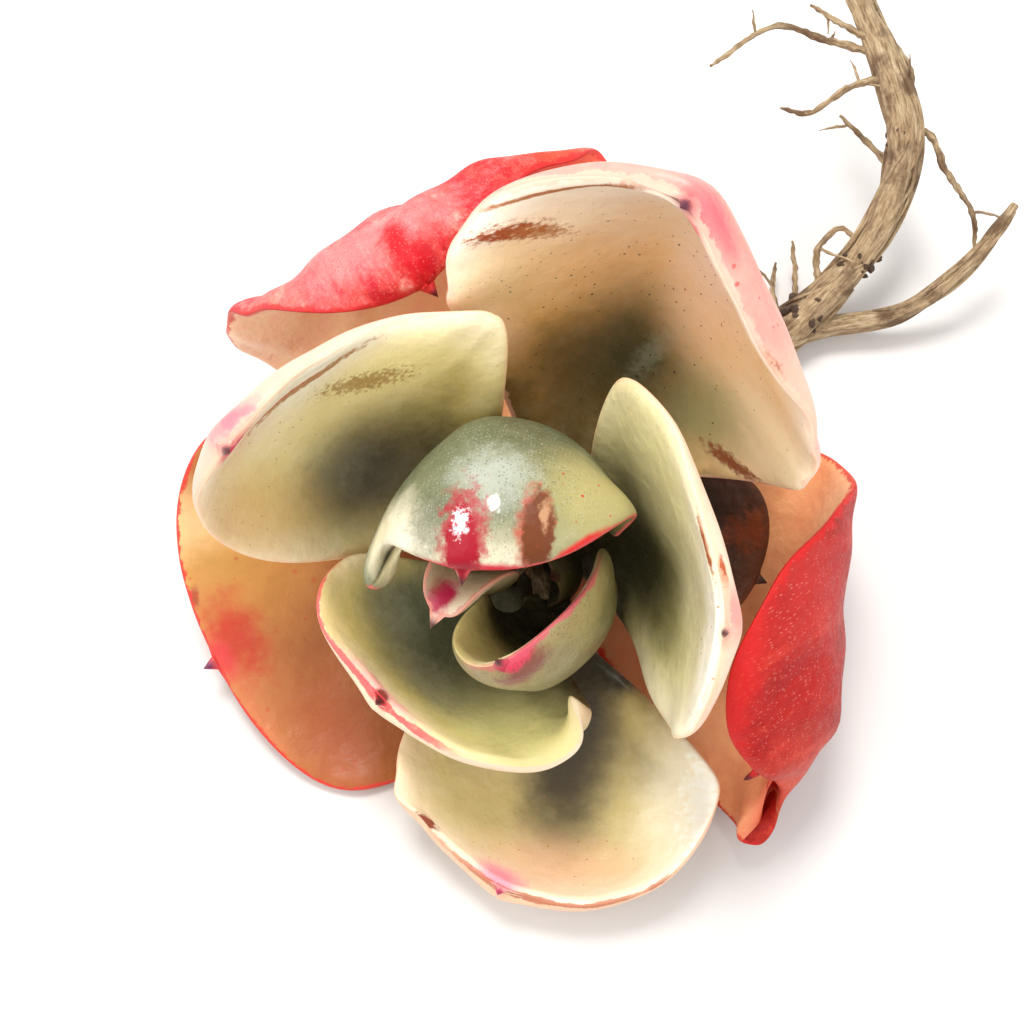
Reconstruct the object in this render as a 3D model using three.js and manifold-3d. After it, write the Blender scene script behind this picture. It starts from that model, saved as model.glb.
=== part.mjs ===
import * as THREE from 'three';
import Module from 'manifold-3d';
import { mergeVertices } from 'three/addons/utils/BufferGeometryUtils.js';

// A rosette succulent lifted out of its pot, lying on a surface on its lowest leaves and its root.
// Millimetres, +Z up, +Y the way the main root runs off. The origin is on the surface, under the
// middle of the plant's box.

const DEGREE = Math.PI / 180;

// Where the rosette sits. The crown is the point that the stem's axis leans about.
const CROWN_HEIGHT = 8.0;
const ROSETTE_LEAN = 27;
const ROSETTE_LEAN_AZIMUTH = 250;
const MIDDLE_OF_BOX = { x: 7.8, y: 18.8 };

// What every leaf shares.
const LEAF_ROWS = 15;
const LEAF_COLUMNS = 13;
const INNER_EDGE_ROUNDING = 1.5;
const OUTER_EDGE_ROUNDING = 3.2;
const BASE_RAMP = 0.85;
const MUCRO_HALF_WIDTH = 1.6;
const MUCRO_FOOT = 3;
const MUCRO_TAPER = 0.55;
const MUCRO_THICKNESS = 0.9;
const INNER_SHARE = 0.35;
const THICKNESS_AT_BASE = 1.15;
const THINNING_TO_TIP = 0.45;
const THINNING_TO_RIM = 0.35;
const OPENED_BY = 0.6;
const TIP_CUPPING_FROM = 0.5;
const MIDRIB_STEPS = 120;
const SECTION_STEPS = 24;
const LOWER_ROWS_SHARE = 0.45;
const LOWER_ROWS_REACH = 0.55;
const LAST_ROW_AT = 0.995;
const LAST_ROW_TURN = 0.97;
const POINT_ROW_SHARE = 0.45;
const RIMWARD_CROWDING = 0.6;

// Each leaf, from the heart outwards. Azimuths are anticlockwise from +X, in the rosette's own frame.
// pitch is the midrib's angle above level at base, middle and tip. sweep and roll turn evenly from
// base to tip, and their bows add so many degrees at mid-length. Other pairs are for the leaf's left
// and right half, seen on its inner face with the tip up: cup is how far a half turns up towards its
// rim, curl how far it turns on or back at the very rim, and blunt how square its tip is.
const LEAF_DEFAULTS = {
  sweep: 0,
  sweepBow: 0,
  roll: [0, 0],
  rollBow: 0,
  curl: [0, 0],
  cupAtBase: 1,
  cupAtTip: [1, 1],
  baseHalfWidth: 2.4,
  mucro: 1.6,
};
const LEAVES = [
  {
    name: 'bud_leaf_a', skin: 'green', azimuth: -4, seatRadius: 1.6, seatHeight: 9.6,
    length: 16, halfWidth: [4, 5], thickness: 1.8, baseHalfWidth: 1.6, mucro: 1.2,
    pitch: [62, 78, 110], sweep: 27, roll: [-2, 2],
    cup: [56, 57], keel: 11, widestAt: [0.52, 0.52], blunt: [1.9, 1.9],
  },
  {
    name: 'bud_leaf_b', skin: 'green', azimuth: 150, seatRadius: 1.4, seatHeight: 10.9,
    length: 7, halfWidth: [4, 3.5], thickness: 1.6, baseHalfWidth: 1.4, mucro: 1.2,
    pitch: [79, 81, 97], sweep: 2, roll: [0, 2],
    cup: [62, 59], keel: 10, widestAt: [0.5, 0.5], blunt: [1.8, 1.9], cupAtTip: [1.05, 0.95],
  },
  {
    name: 'leaf_01_heart_narrow', skin: 'pale', azimuth: 189, seatRadius: 5, seatHeight: 10.1,
    length: 23.5, halfWidth: [5, 4.8], thickness: 2.1, baseHalfWidth: 2,
    pitch: [47, 109, 14], sweep: 54, roll: [3, 19],
    cup: [40, 40], curl: [-21, 4], keel: 23, widestAt: [0.58, 0.62], blunt: [2.6, 1.8],
    cupAtBase: 0.85, cupAtTip: [1.45, 0.75],
  },
  {
    name: 'leaf_02_heart_cupped', skin: 'green', azimuth: 283, seatRadius: 4.8, seatHeight: 9.2,
    length: 29, halfWidth: [14.5, 11], thickness: 2.7, mucro: 1.5,
    pitch: [40, 92, 112], sweep: 22, roll: [-17, -12],
    cup: [83, 104], curl: [-10, 11], keel: 12, widestAt: [0.62, 0.46], blunt: [1.8, 1.7],
    cupAtBase: 1.15, cupAtTip: [0.45, 0.8],
  },
  {
    name: 'leaf_03_heart_hooded', skin: 'green', azimuth: 99, seatRadius: 4.4, seatHeight: 8.1,
    length: 39.5, halfWidth: [18.5, 17.5], thickness: 3,
    pitch: [56, 83, 186], sweep: -13, sweepBow: 3, roll: [2, 17], rollBow: 2,
    cup: [51, 99], curl: [-14, -4], keel: 10, widestAt: [0.62, 0.56], blunt: [3.4, 2.5],
    cupAtBase: 0.95, cupAtTip: [1.5, 0.4],
  },
  {
    name: 'leaf_04_inner_lower_left', skin: 'pale', azimuth: 226, seatRadius: 3, seatHeight: 6.4,
    length: 23.5, halfWidth: [26, 14], thickness: 3.1,
    pitch: [25, 36, 86], sweep: -13, sweepBow: 1, roll: [-1, 10], rollBow: 1,
    cup: [55, 49], curl: [28, 14], keel: 0, widestAt: [0.52, 0.64], blunt: [2.6, 3.1],
    cupAtBase: 1.05, cupAtTip: [0.8, 0.2],
  },
  {
    name: 'leaf_05_inner_right', skin: 'pale', azimuth: -3, seatRadius: 3.4, seatHeight: 5.2,
    length: 36.5, halfWidth: [22, 13], thickness: 3.1,
    pitch: [41, 60, 83], sweep: -22, roll: [13, 20],
    cup: [27, 15], curl: [-18, 14], keel: 6, widestAt: [0.58, 0.66], blunt: [2.2, 2.8],
    cupAtBase: 1.2, cupAtTip: [1, 1.2],
  },
  {
    name: 'leaf_06_middle_left', skin: 'pale', azimuth: 154, seatRadius: 4.6, seatHeight: 5.4,
    length: 42, halfWidth: [12, 27], thickness: 3.1,
    pitch: [39, 40, 119], sweep: -1, sweepBow: -4, roll: [-18, -12], rollBow: 1,
    cup: [67, 54], curl: [-48, -26], keel: 0, widestAt: [0.6, 0.48], blunt: [1.7, 1.8],
    cupAtBase: 0.95, cupAtTip: [0.7, 0.6],
  },
  {
    name: 'leaf_07_middle_upper_right', skin: 'pale', azimuth: 72, seatRadius: 4.6, seatHeight: 3.8,
    length: 54, halfWidth: [24, 26], thickness: 3.3,
    pitch: [7, 38, 110], sweep: -34, sweepBow: -1, roll: [7, 4], rollBow: 10,
    cup: [40, 43], curl: [-11, -22], keel: 23, widestAt: [0.58, 0.46], blunt: [3.9, 2.4],
    cupAtBase: 0.85, cupAtTip: [1.4, 0.2],
  },
  {
    name: 'leaf_08_outer_bottom', skin: 'pale', azimuth: 261, seatRadius: 5.4, seatHeight: 3.8,
    length: 34, halfWidth: [24, 15], thickness: 3.2,
    pitch: [23, 7, 85], sweep: 7, roll: [-6, -26],
    cup: [41, 42], curl: [8, 6], keel: 3, widestAt: [0.56, 0.58], blunt: [3.7, 2.7],
    cupAtTip: [1.35, 0.9],
  },
  {
    name: 'leaf_09_outer_left', skin: 'pale', azimuth: 192, seatRadius: 4.6, seatHeight: 2.1,
    length: 34.5, halfWidth: [20.5, 24.5], thickness: 3.1,
    pitch: [13, 5, 33], sweep: 13, roll: [-6, 1],
    cup: [22, 19], curl: [0, 11], keel: 0, widestAt: [0.58, 0.6], blunt: [2.6, 2.3],
    cupAtBase: 0.9, cupAtTip: [1.15, 1.15],
  },
  {
    name: 'leaf_10_outer_top_hooded', skin: 'red', azimuth: 92, seatRadius: 3.7, seatHeight: 0,
    length: 53.5, halfWidth: [24, 22.5], thickness: 3,
    pitch: [16, 24, 190], sweep: 36, sweepBow: 12, roll: [8, -13],
    cup: [5, 28], curl: [-50, 0], keel: 0, widestAt: [0.64, 0.54], blunt: [1.4, 2.1],
    cupAtBase: 0.5, cupAtTip: [0.2, 0.95],
  },
  {
    name: 'leaf_11_outer_right_hooded', skin: 'red', azimuth: 308, seatRadius: 4.4, seatHeight: 0.5,
    length: 50, halfWidth: [28.5, 15.5], thickness: 3,
    pitch: [-14, 25, 178], sweep: 90, sweepBow: -8, roll: [-23, -60], rollBow: 22,
    cup: [20, -2], curl: [-21, -55], keel: 12, widestAt: [0.3, 0.76], blunt: [2.6, 3.7],
    cupAtBase: 0.5, cupAtTip: [1.7, 1.25],
  },
  {
    name: 'leaf_12_withered', skin: 'withered', azimuth: 3, seatRadius: 3.8, seatHeight: 2.2,
    length: 20.5, halfWidth: [10.5, 8.5], thickness: 1.4, baseHalfWidth: 1.8, mucro: 1.2,
    pitch: [21, 9, 11], sweep: -26, roll: [-4, -5],
    cup: [14, 15], curl: [-8, 5], keel: 5, widestAt: [0.6, 0.6], blunt: [2.5, 2.2],
    cupAtBase: 0.9, cupAtTip: [1.05, 0.8],
  },
].map((leaf) => ({ ...LEAF_DEFAULTS, ...leaf }));

// The stem and main root as one line, with the half thickness at each point, from the heart of the
// rosette, down under the leaves, along the surface and up again to the root's broken end.
const STEM_AND_ROOT = [
  { at: [-1.6, -4.5, 17.5], radius: 0.4 },
  { at: [-1.4, -3.9, 16.2], radius: 0.6 },
  { at: [-0.7, -1.9, 12.0], radius: 1.9 },
  { at: [0.0, 0.0, 8.0], radius: 2.4 },
  { at: [0.6, 1.9, 4.6], radius: 2.8 },
  { at: [4.0, 5.6, 2.9], radius: 3.0 },
  { at: [10.0, 12.0, 2.7], radius: 2.8 },
  { at: [19.0, 20.5, 2.5], radius: 2.6 },
  { at: [28.8, 28.7, 3.0], radius: 2.5 },
  { at: [35.8, 34.3, 6.5], radius: 2.1 },
  { at: [41.0, 41.0, 11.5], radius: 1.9 },
  { at: [42.4, 47.4, 16.5], radius: 2.0 },
  { at: [40.4, 54.7, 20.0], radius: 1.7 },
  { at: [37.3, 63.4, 21.5], radius: 1.4 },
  { at: [36.0, 70.5, 20.5], radius: 1.2 },
  { at: [36.8, 77.0, 18.0], radius: 0.8 },
];

const SIDE_ROOT = [
  { at: [28.0, 28.0, 3.0], radius: 1.6 },
  { at: [34.9, 29.9, 3.0], radius: 1.2 },
  { at: [43.8, 31.2, 4.5], radius: 1.0 },
  { at: [50.1, 34.6, 8.0], radius: 0.85 },
  { at: [54.0, 38.8, 11.0], radius: 0.8 },
  { at: [56.0, 41.4, 12.0], radius: 0.55 },
];

// Fine roots, each from inside the root that it grows on to its free end.
const ROOTLETS = [
  [[39.9, 56.0, 20.3], [33.4, 57.8, 21.0], [27.0, 59.4, 21.5], [19.4, 55.2, 20.0]],
  [[40.6, 54.0, 19.7], [34.7, 51.9, 20.0], [30.8, 49.6, 18.5], [27.7, 50.8, 18.0]],
  [[39.3, 58.0, 20.7], [34.2, 59.5, 22.5], [31.0, 61.5, 23.0]],
  [[39.5, 58.6, 20.4], [41.6, 57.7, 20.0], [43.2, 55.2, 19.0], [43.0, 51.0, 17.5]],
  [[41.5, 44.0, 13.0], [40.0, 47.0, 14.0], [37.8, 48.7, 15.0], [35.1, 51.1, 16.0]],
  [[42.0, 47.5, 16.2], [44.9, 48.2, 17.0], [46.6, 43.0, 17.0], [50.6, 39.2, 12.8], [51.6, 36.2, 9.2]],
  [[30.5, 30.0, 3.6], [31.1, 34.0, 3.4], [31.0, 38.1, 3.6], [30.8, 41.0, 4.2]],
  [[29.0, 28.8, 3.4], [28.4, 34.0, 2.4], [28.9, 38.8, 2.6]],
  [[33.6, 32.4, 5.0], [33.0, 37.6, 8.0], [35.5, 39.5, 10.0], [37.6, 37.6, 9.4]],
  [[3.0, 4.6, 3.2], [-3.0, 8.0, 1.8], [-9.0, 11.0, 0.8], [-14.0, 12.5, 0.3]],
  [[7.0, 8.5, 3.0], [4.5, 13.0, 1.6], [2.5, 18.0, 0.6], [-1.0, 22.0, 0.3]],
];
const ROOTLET_RADIUS = 0.5;
const ROOTLET_END_RADIUS = 0.32;

const MAIN_ROOT_SIDES = 10;
const MAIN_ROOT_RINGS = 44;
const SIDE_ROOT_SIDES = 8;
const SIDE_ROOT_RINGS = 14;
const ROOTLET_SIDES = 5;
const ROOTLET_RINGS = 10;

// Each leaf is seated on its own short stub of the stem, with this clearance between the two. The
// stub runs back to the stem's axis, a little lower than the seat.
const SEAT_GAP = 0.3;
const SEAT_FACE_LENGTH = 0.6;
const SEAT_FACE_HALF_WIDTH = 0.6;
const SEAT_FACE_HALF_HEIGHT = 0.32;
const SEAT_FOOT_RADIUS = 0.25;
const SEAT_FOOT_DROP = 0.3;
const SEAT_FOOT_HEIGHT = 0.5;
const SEAT_STUB_SLOPE = 0.1;
const SEAT_SIDES = 8;

function quadratic([atStart, atMiddle, atEnd], share) {
  const first = atStart * (2 * share - 1) * (share - 1);
  const second = atMiddle * 4 * share * (1 - share);
  const third = atEnd * share * (2 * share - 1);
  return first + second + third;
}

function clamped(value) {
  return Math.min(Math.max(value, 0), 1);
}

// The frame of the midrib: T runs to the tip, N stands out of the inner face, B points to the right.
function midribFrame(leaf, share) {
  const pitch = quadratic(leaf.pitch, share) * DEGREE;
  const bow = 4 * share * (1 - share);
  const heading = (leaf.azimuth + leaf.sweep * share + leaf.sweepBow * bow) * DEGREE;
  const evenRoll = THREE.MathUtils.lerp(leaf.roll[0], leaf.roll[1], share);
  const roll = (evenRoll + leaf.rollBow * bow) * DEGREE;
  const T = new THREE.Vector3(
    Math.cos(pitch) * Math.cos(heading), Math.cos(pitch) * Math.sin(heading), Math.sin(pitch));
  const level = new THREE.Vector3(
    -Math.sin(pitch) * Math.cos(heading), -Math.sin(pitch) * Math.sin(heading), Math.cos(pitch));
  const side = T.clone().cross(level);
  const N = level.multiplyScalar(Math.cos(roll)).addScaledVector(side, Math.sin(roll));
  const B = T.clone().cross(N);
  return { T, B, N };
}

// Walks the midrib from the leaf's seat and returns a function that gives the point at a distance.
function midribOf(leaf) {
  const reach = leaf.length + leaf.mucro + 1;
  const step = reach / MIDRIB_STEPS;
  const azimuth = leaf.azimuth * DEGREE;
  const points = [new THREE.Vector3(
    leaf.seatRadius * Math.cos(azimuth), leaf.seatRadius * Math.sin(azimuth), leaf.seatHeight)];
  for (let i = 0; i < MIDRIB_STEPS; i += 1) {
    const share = clamped((i + 0.5) * step / leaf.length);
    const { T } = midribFrame(leaf, share);
    points.push(points[i].clone().addScaledVector(T, step));
  }
  return (distance) => {
    const place = Math.min(distance / step, MIDRIB_STEPS - 1e-6);
    const index = Math.floor(place);
    return points[index].clone().lerp(points[index + 1], place - index);
  };
}

// Half the blade's flattened width at a distance from the base, on side 0 (left) or 1 (right).
function halfWidthAt(leaf, side, distance) {
  const share = clamped(distance / leaf.length);
  const widestAt = leaf.widestAt[side];
  let blade;
  if (share < widestAt) {
    const rise = THREE.MathUtils.smoothstep(share, 0, widestAt) ** BASE_RAMP;
    blade = THREE.MathUtils.lerp(leaf.baseHalfWidth, leaf.halfWidth[side], rise);
  } else {
    const towardsTip = (share - widestAt) / (1 - widestAt);
    const power = leaf.blunt[side];
    blade = leaf.halfWidth[side] * Math.max(1 - towardsTip ** power, 0) ** (1 / power);
  }
  if (distance < leaf.length - MUCRO_FOOT) {
    return blade;
  }
  const point = Math.max((leaf.length + leaf.mucro - distance) * MUCRO_TAPER, 0);
  return Math.max(blade, Math.min(point, MUCRO_HALF_WIDTH));
}

// Follows the blade's cross section from the midrib out to a distance along its surface.
function sectionAt(leaf, side, share, across) {
  const meanHalfWidth = (leaf.halfWidth[0] + leaf.halfWidth[1]) / 2;
  const pastMiddle = (share - TIP_CUPPING_FROM) / (1 - TIP_CUPPING_FROM);
  const opening = THREE.MathUtils.lerp(leaf.cupAtBase, 1, clamped(share / OPENED_BY))
    * THREE.MathUtils.lerp(1, leaf.cupAtTip[side], clamped(pastMiddle));
  const turn = (distance) => {
    const q = distance / meanHalfWidth;
    return (leaf.keel + opening * (leaf.cup[side] * q + leaf.curl[side] * q ** 3)) * DEGREE;
  };
  const step = across / SECTION_STEPS;
  let sideways = 0;
  let upward = 0;
  for (let i = 0; i < SECTION_STEPS; i += 1) {
    const heading = turn((i + 0.5) * step);
    sideways += Math.cos(heading) * step;
    upward += Math.sin(heading) * step;
  }
  return { sideways, upward, heading: turn(across) };
}

// Distances of the rows of points from the base, closer together towards the tip.
function rowDistances(leaf) {
  const lowerRows = Math.floor(LEAF_ROWS * LOWER_ROWS_SHARE);
  const upperRows = LEAF_ROWS - lowerRows - 1;
  const lastTurn = LAST_ROW_TURN * Math.PI / 2;
  const distances = [];
  for (let i = 0; i < lowerRows; i += 1) {
    distances.push(LOWER_ROWS_REACH * leaf.length * i / lowerRows);
  }
  for (let i = 0; i < upperRows; i += 1) {
    const crowded = Math.sin(i / (upperRows - 1) * lastTurn) / Math.sin(lastTurn);
    const share = THREE.MathUtils.lerp(LOWER_ROWS_REACH, LAST_ROW_AT, crowded);
    distances.push(share * leaf.length);
  }
  distances.push(leaf.length + POINT_ROW_SHARE * leaf.mucro);
  return distances;
}

// The two faces' points at one row and one place across, from -1 at the left rim to 1 at the right.
function facePoints(leaf, midrib, distance, place) {
  const side = place < 0 ? 0 : 1;
  const sign = place < 0 ? -1 : 1;
  const share = clamped(distance / leaf.length);
  const halfWidth = halfWidthAt(leaf, side, distance);
  const nudge = 0.02;
  const slope = (halfWidthAt(leaf, side, distance + nudge)
    - halfWidthAt(leaf, side, Math.max(distance - nudge, 0))) / (2 * nudge);
  const across = halfWidth * Math.abs(place);
  const section = sectionAt(leaf, side, share, across);
  const { B, N } = midribFrame(leaf, share);
  const middle = midrib(distance)
    .addScaledVector(B, sign * section.sideways)
    .addScaledVector(N, section.upward);
  const normal = B.clone().multiplyScalar(-sign * Math.sin(section.heading))
    .addScaledVector(N, Math.cos(section.heading));
  const fromMargin = Math.min((halfWidth - across) / Math.hypot(1, slope),
    leaf.length + leaf.mucro - distance);
  let thickness = leaf.thickness * (THICKNESS_AT_BASE - THINNING_TO_TIP * share)
    * (1 - THINNING_TO_RIM * place ** 2);
  if (distance > leaf.length) {
    thickness = Math.min(thickness, MUCRO_THICKNESS * (1 - place ** 4));
  }
  const rounded = (reach) => Math.sqrt(1 - (1 - clamped(fromMargin / reach)) ** 2);
  return {
    inner: middle.clone().addScaledVector(normal,
      INNER_SHARE * thickness * rounded(INNER_EDGE_ROUNDING)),
    outer: middle.clone().addScaledVector(normal,
      -(1 - INNER_SHARE) * thickness * rounded(OUTER_EDGE_ROUNDING)),
  };
}

function placesAcross() {
  const places = [];
  for (let i = 0; i < LEAF_COLUMNS; i += 1) {
    const even = 2 * i / (LEAF_COLUMNS - 1) - 1;
    places.push(THREE.MathUtils.lerp(even, Math.sin(even * Math.PI / 2), RIMWARD_CROWDING));
  }
  places[0] = -1;
  places[LEAF_COLUMNS - 1] = 1;
  return places;
}

// One closed leaf: an inner and an outer face that meet along the rim and in the point at the tip,
// and a flat end where the leaf is seated on the stem.
function leafGeometry(leaf) {
  const midrib = midribOf(leaf);
  const places = placesAcross();
  const distances = rowDistances(leaf);
  const points = [];
  const innerIds = [];
  const outerIds = [];
  const keep = (point) => points.push(point) - 1;
  for (const distance of distances) {
    const innerRow = [];
    const outerRow = [];
    for (const place of places) {
      const { inner, outer } = facePoints(leaf, midrib, distance, place);
      const onRim = Math.abs(place) === 1;
      const innerId = keep(inner);
      innerRow.push(innerId);
      outerRow.push(onRim ? innerId : keep(outer));
    }
    innerIds.push(innerRow);
    outerIds.push(outerRow);
  }
  const tip = keep(midrib(leaf.length + leaf.mucro));

  const triangles = [];
  const add = (a, b, c) => {
    if (a !== b && b !== c && c !== a) {
      triangles.push(a, b, c);
    }
  };
  const last = distances.length - 1;
  for (let column = 0; column < LEAF_COLUMNS - 1; column += 1) {
    for (let row = 0; row < last; row += 1) {
      const [a, b] = [innerIds[row][column], innerIds[row][column + 1]];
      const [c, d] = [innerIds[row + 1][column], innerIds[row + 1][column + 1]];
      add(a, b, d);
      add(a, d, c);
      const [e, f] = [outerIds[row][column], outerIds[row][column + 1]];
      const [g, h] = [outerIds[row + 1][column], outerIds[row + 1][column + 1]];
      add(e, h, f);
      add(e, g, h);
    }
    add(innerIds[last][column], innerIds[last][column + 1], tip);
    add(outerIds[last][column + 1], outerIds[last][column], tip);
    add(outerIds[0][column], outerIds[0][column + 1], innerIds[0][column + 1]);
    add(outerIds[0][column], innerIds[0][column + 1], innerIds[0][column]);
  }
  const geometry = new THREE.BufferGeometry();
  geometry.setAttribute('position',
    new THREE.Float32BufferAttribute(points.flatMap((point) => point.toArray()), 3));
  geometry.setIndex(triangles);
  return geometry;
}

// From the rosette's own frame, whose +Z is the stem's axis, to the plant as it lies.
function rosettePlacement() {
  const azimuth = ROSETTE_LEAN_AZIMUTH * DEGREE;
  const tiltAxis = new THREE.Vector3(-Math.sin(azimuth), Math.cos(azimuth), 0);
  const placement = new THREE.Matrix4().makeRotationAxis(tiltAxis, ROSETTE_LEAN * DEGREE);
  return placement.setPosition(0, 0, CROWN_HEIGHT);
}

// A round, tapering, closed tube along a line of points with radii.
function taperedTube(line, sides, rings) {
  const curve = new THREE.CatmullRomCurve3(line.map((stop) => new THREE.Vector3(...stop.at)),
    false, 'centripetal');
  const frames = curve.computeFrenetFrames(rings, false);
  const positions = [];
  const triangles = [];
  for (let ring = 0; ring <= rings; ring += 1) {
    const share = ring / rings;
    const centre = curve.getPointAt(share);
    const place = curve.getUtoTmapping(share) * (line.length - 1);
    const index = Math.min(Math.floor(place), line.length - 2);
    const radius = THREE.MathUtils.lerp(line[index].radius, line[index + 1].radius, place - index);
    for (let side = 0; side < sides; side += 1) {
      const angle = side / sides * 2 * Math.PI;
      const point = centre.clone()
        .addScaledVector(frames.normals[ring], radius * Math.cos(angle))
        .addScaledVector(frames.binormals[ring], radius * Math.sin(angle));
      positions.push(...point.toArray());
    }
  }
  const start = positions.length / 3;
  positions.push(...curve.getPointAt(0).toArray(), ...curve.getPointAt(1).toArray());
  for (let side = 0; side < sides; side += 1) {
    const next = (side + 1) % sides;
    for (let ring = 0; ring < rings; ring += 1) {
      const [a, b] = [ring * sides + side, ring * sides + next];
      const [c, d] = [a + sides, b + sides];
      triangles.push(a, b, d, a, d, c);
    }
    triangles.push(start, next, side);
    triangles.push(start + 1, rings * sides + side, rings * sides + next);
  }
  const geometry = new THREE.BufferGeometry();
  geometry.setAttribute('position', new THREE.Float32BufferAttribute(positions, 3));
  geometry.setIndex(triangles);
  return geometry;
}

const wasm = await Module();
wasm.setup();

function solidFrom(geometry) {
  const bare = geometry.clone();
  bare.deleteAttribute('normal');
  bare.deleteAttribute('uv');
  const merged = mergeVertices(bare, 1e-4);
  return new wasm.Manifold(new wasm.Mesh({
    numProp: 3,
    vertProperties: new Float32Array(merged.attributes.position.array),
    triVerts: new Uint32Array(merged.index.array),
  }));
}

function geometryFrom(solid) {
  const mesh = solid.getMesh();
  const geometry = new THREE.BufferGeometry();
  geometry.setAttribute('position', new THREE.BufferAttribute(mesh.vertProperties, 3));
  geometry.setIndex(new THREE.BufferAttribute(mesh.triVerts, 1));
  return geometry;
}

// Whatever would reach below the surface is cut flat, which gives the plant its resting spots.
const SLAB_WIDTH = 400;
const SLAB_DEPTH = 40;
function cutAtSurface(geometry) {
  const slab = new THREE.BoxGeometry(SLAB_WIDTH, SLAB_WIDTH, SLAB_DEPTH)
    .translate(0, 0, -SLAB_DEPTH / 2);
  return geometryFrom(solidFrom(geometry).subtract(solidFrom(slab)));
}

// A short stub of the stem, rather smaller than the leaf's own base, that ends just short of it.
function seatStub(leaf, placement) {
  const { T, B, N } = midribFrame(leaf, 0);
  const seat = midribOf(leaf)(0);
  const footHeight = leaf.seatHeight - SEAT_FOOT_DROP - leaf.seatRadius * SEAT_STUB_SLOPE;
  const footRadius = leaf.baseHalfWidth * SEAT_FOOT_RADIUS;
  const halfWidth = leaf.baseHalfWidth * SEAT_FACE_HALF_WIDTH;
  const halfHeight = leaf.thickness * SEAT_FACE_HALF_HEIGHT;
  const points = [];
  for (let i = 0; i < SEAT_SIDES; i += 1) {
    const angle = i / SEAT_SIDES * 2 * Math.PI;
    for (const back of [SEAT_GAP, SEAT_GAP + SEAT_FACE_LENGTH]) {
      points.push(seat.clone()
        .addScaledVector(T, -back)
        .addScaledVector(B, halfWidth * Math.cos(angle))
        .addScaledVector(N, halfHeight * Math.sin(angle)));
    }
    for (const height of [footHeight, footHeight + SEAT_FOOT_HEIGHT]) {
      points.push(new THREE.Vector3(footRadius * Math.cos(angle), footRadius * Math.sin(angle),
        height));
    }
  }
  return wasm.Manifold.hull(points.map((point) => point.applyMatrix4(placement).toArray()));
}

function stemAndRootsGeometry(placement) {
  let solid = solidFrom(taperedTube(STEM_AND_ROOT, MAIN_ROOT_SIDES, MAIN_ROOT_RINGS));
  solid = solid.add(solidFrom(taperedTube(SIDE_ROOT, SIDE_ROOT_SIDES, SIDE_ROOT_RINGS)));
  for (const route of ROOTLETS) {
    const line = route.map((at, index) => ({
      at,
      radius: THREE.MathUtils.lerp(ROOTLET_RADIUS, ROOTLET_END_RADIUS, index / (route.length - 1)),
    }));
    solid = solid.add(solidFrom(taperedTube(line, ROOTLET_SIDES, ROOTLET_RINGS)));
  }
  for (const leaf of LEAVES) {
    solid = solid.add(seatStub(leaf, placement));
  }
  return geometryFrom(solid);
}

const SKIN = {
  pale: { color: 0xd9cfa8, roughness: 0.42, metalness: 0 },
  green: { color: 0x8f9a7c, roughness: 0.45, metalness: 0 },
  red: { color: 0xd8584e, roughness: 0.45, metalness: 0 },
  withered: { color: 0x5d3a22, roughness: 0.8, metalness: 0 },
  bark: { color: 0x9c8360, roughness: 0.9, metalness: 0 },
};

function namedMesh(name, geometry, skin) {
  const mesh = new THREE.Mesh(geometry, new THREE.MeshStandardMaterial(SKIN[skin]));
  mesh.name = name;
  return mesh;
}

function buildPlant() {
  const plant = new THREE.Group();
  plant.position.set(-MIDDLE_OF_BOX.x, -MIDDLE_OF_BOX.y, 0);
  const placement = rosettePlacement();
  for (const leaf of LEAVES) {
    const geometry = leafGeometry(leaf).applyMatrix4(placement);
    plant.add(namedMesh(leaf.name, cutAtSurface(geometry), leaf.skin));
  }
  plant.add(namedMesh('stem_and_roots', cutAtSurface(stemAndRootsGeometry(placement)), 'bark'));
  return plant;
}

const object = new THREE.Group();
object.add(buildPlant());

export default object;
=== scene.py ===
import math

import bpy
import numpy as np
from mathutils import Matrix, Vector


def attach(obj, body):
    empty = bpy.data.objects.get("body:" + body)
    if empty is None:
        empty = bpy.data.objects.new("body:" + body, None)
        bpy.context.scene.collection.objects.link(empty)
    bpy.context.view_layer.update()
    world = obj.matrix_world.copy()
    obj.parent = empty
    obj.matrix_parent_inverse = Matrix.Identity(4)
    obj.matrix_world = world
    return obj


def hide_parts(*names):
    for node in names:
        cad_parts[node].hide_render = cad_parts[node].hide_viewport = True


# A rosette succulent lying bare-rooted on a pale surface: waxy leaves, a stem and its roots.
# Sizes are in millimetres until mesh_object() turns them into metres.

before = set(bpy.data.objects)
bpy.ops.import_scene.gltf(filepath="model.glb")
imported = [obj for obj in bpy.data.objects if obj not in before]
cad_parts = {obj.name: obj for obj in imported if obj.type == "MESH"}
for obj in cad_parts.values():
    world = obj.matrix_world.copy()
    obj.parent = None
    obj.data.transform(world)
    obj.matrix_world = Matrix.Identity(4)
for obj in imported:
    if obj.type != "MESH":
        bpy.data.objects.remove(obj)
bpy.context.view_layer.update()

MM = 0.001

# Where the rosette sits, as in the part's source.
CROWN_HEIGHT = 8.0
ROSETTE_LEAN = 27.0
ROSETTE_LEAN_AZIMUTH = 250.0
MIDDLE_OF_BOX = (7.8, 18.8)

# The halves of a leaf, as its inner face is seen with the tip up.
LEFT = 0
RIGHT = 1

# What the third number of the attribute leaf_place says.
INNER = 0.0
ON_MARGIN = 0.5
OUTER = 1.0

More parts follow.
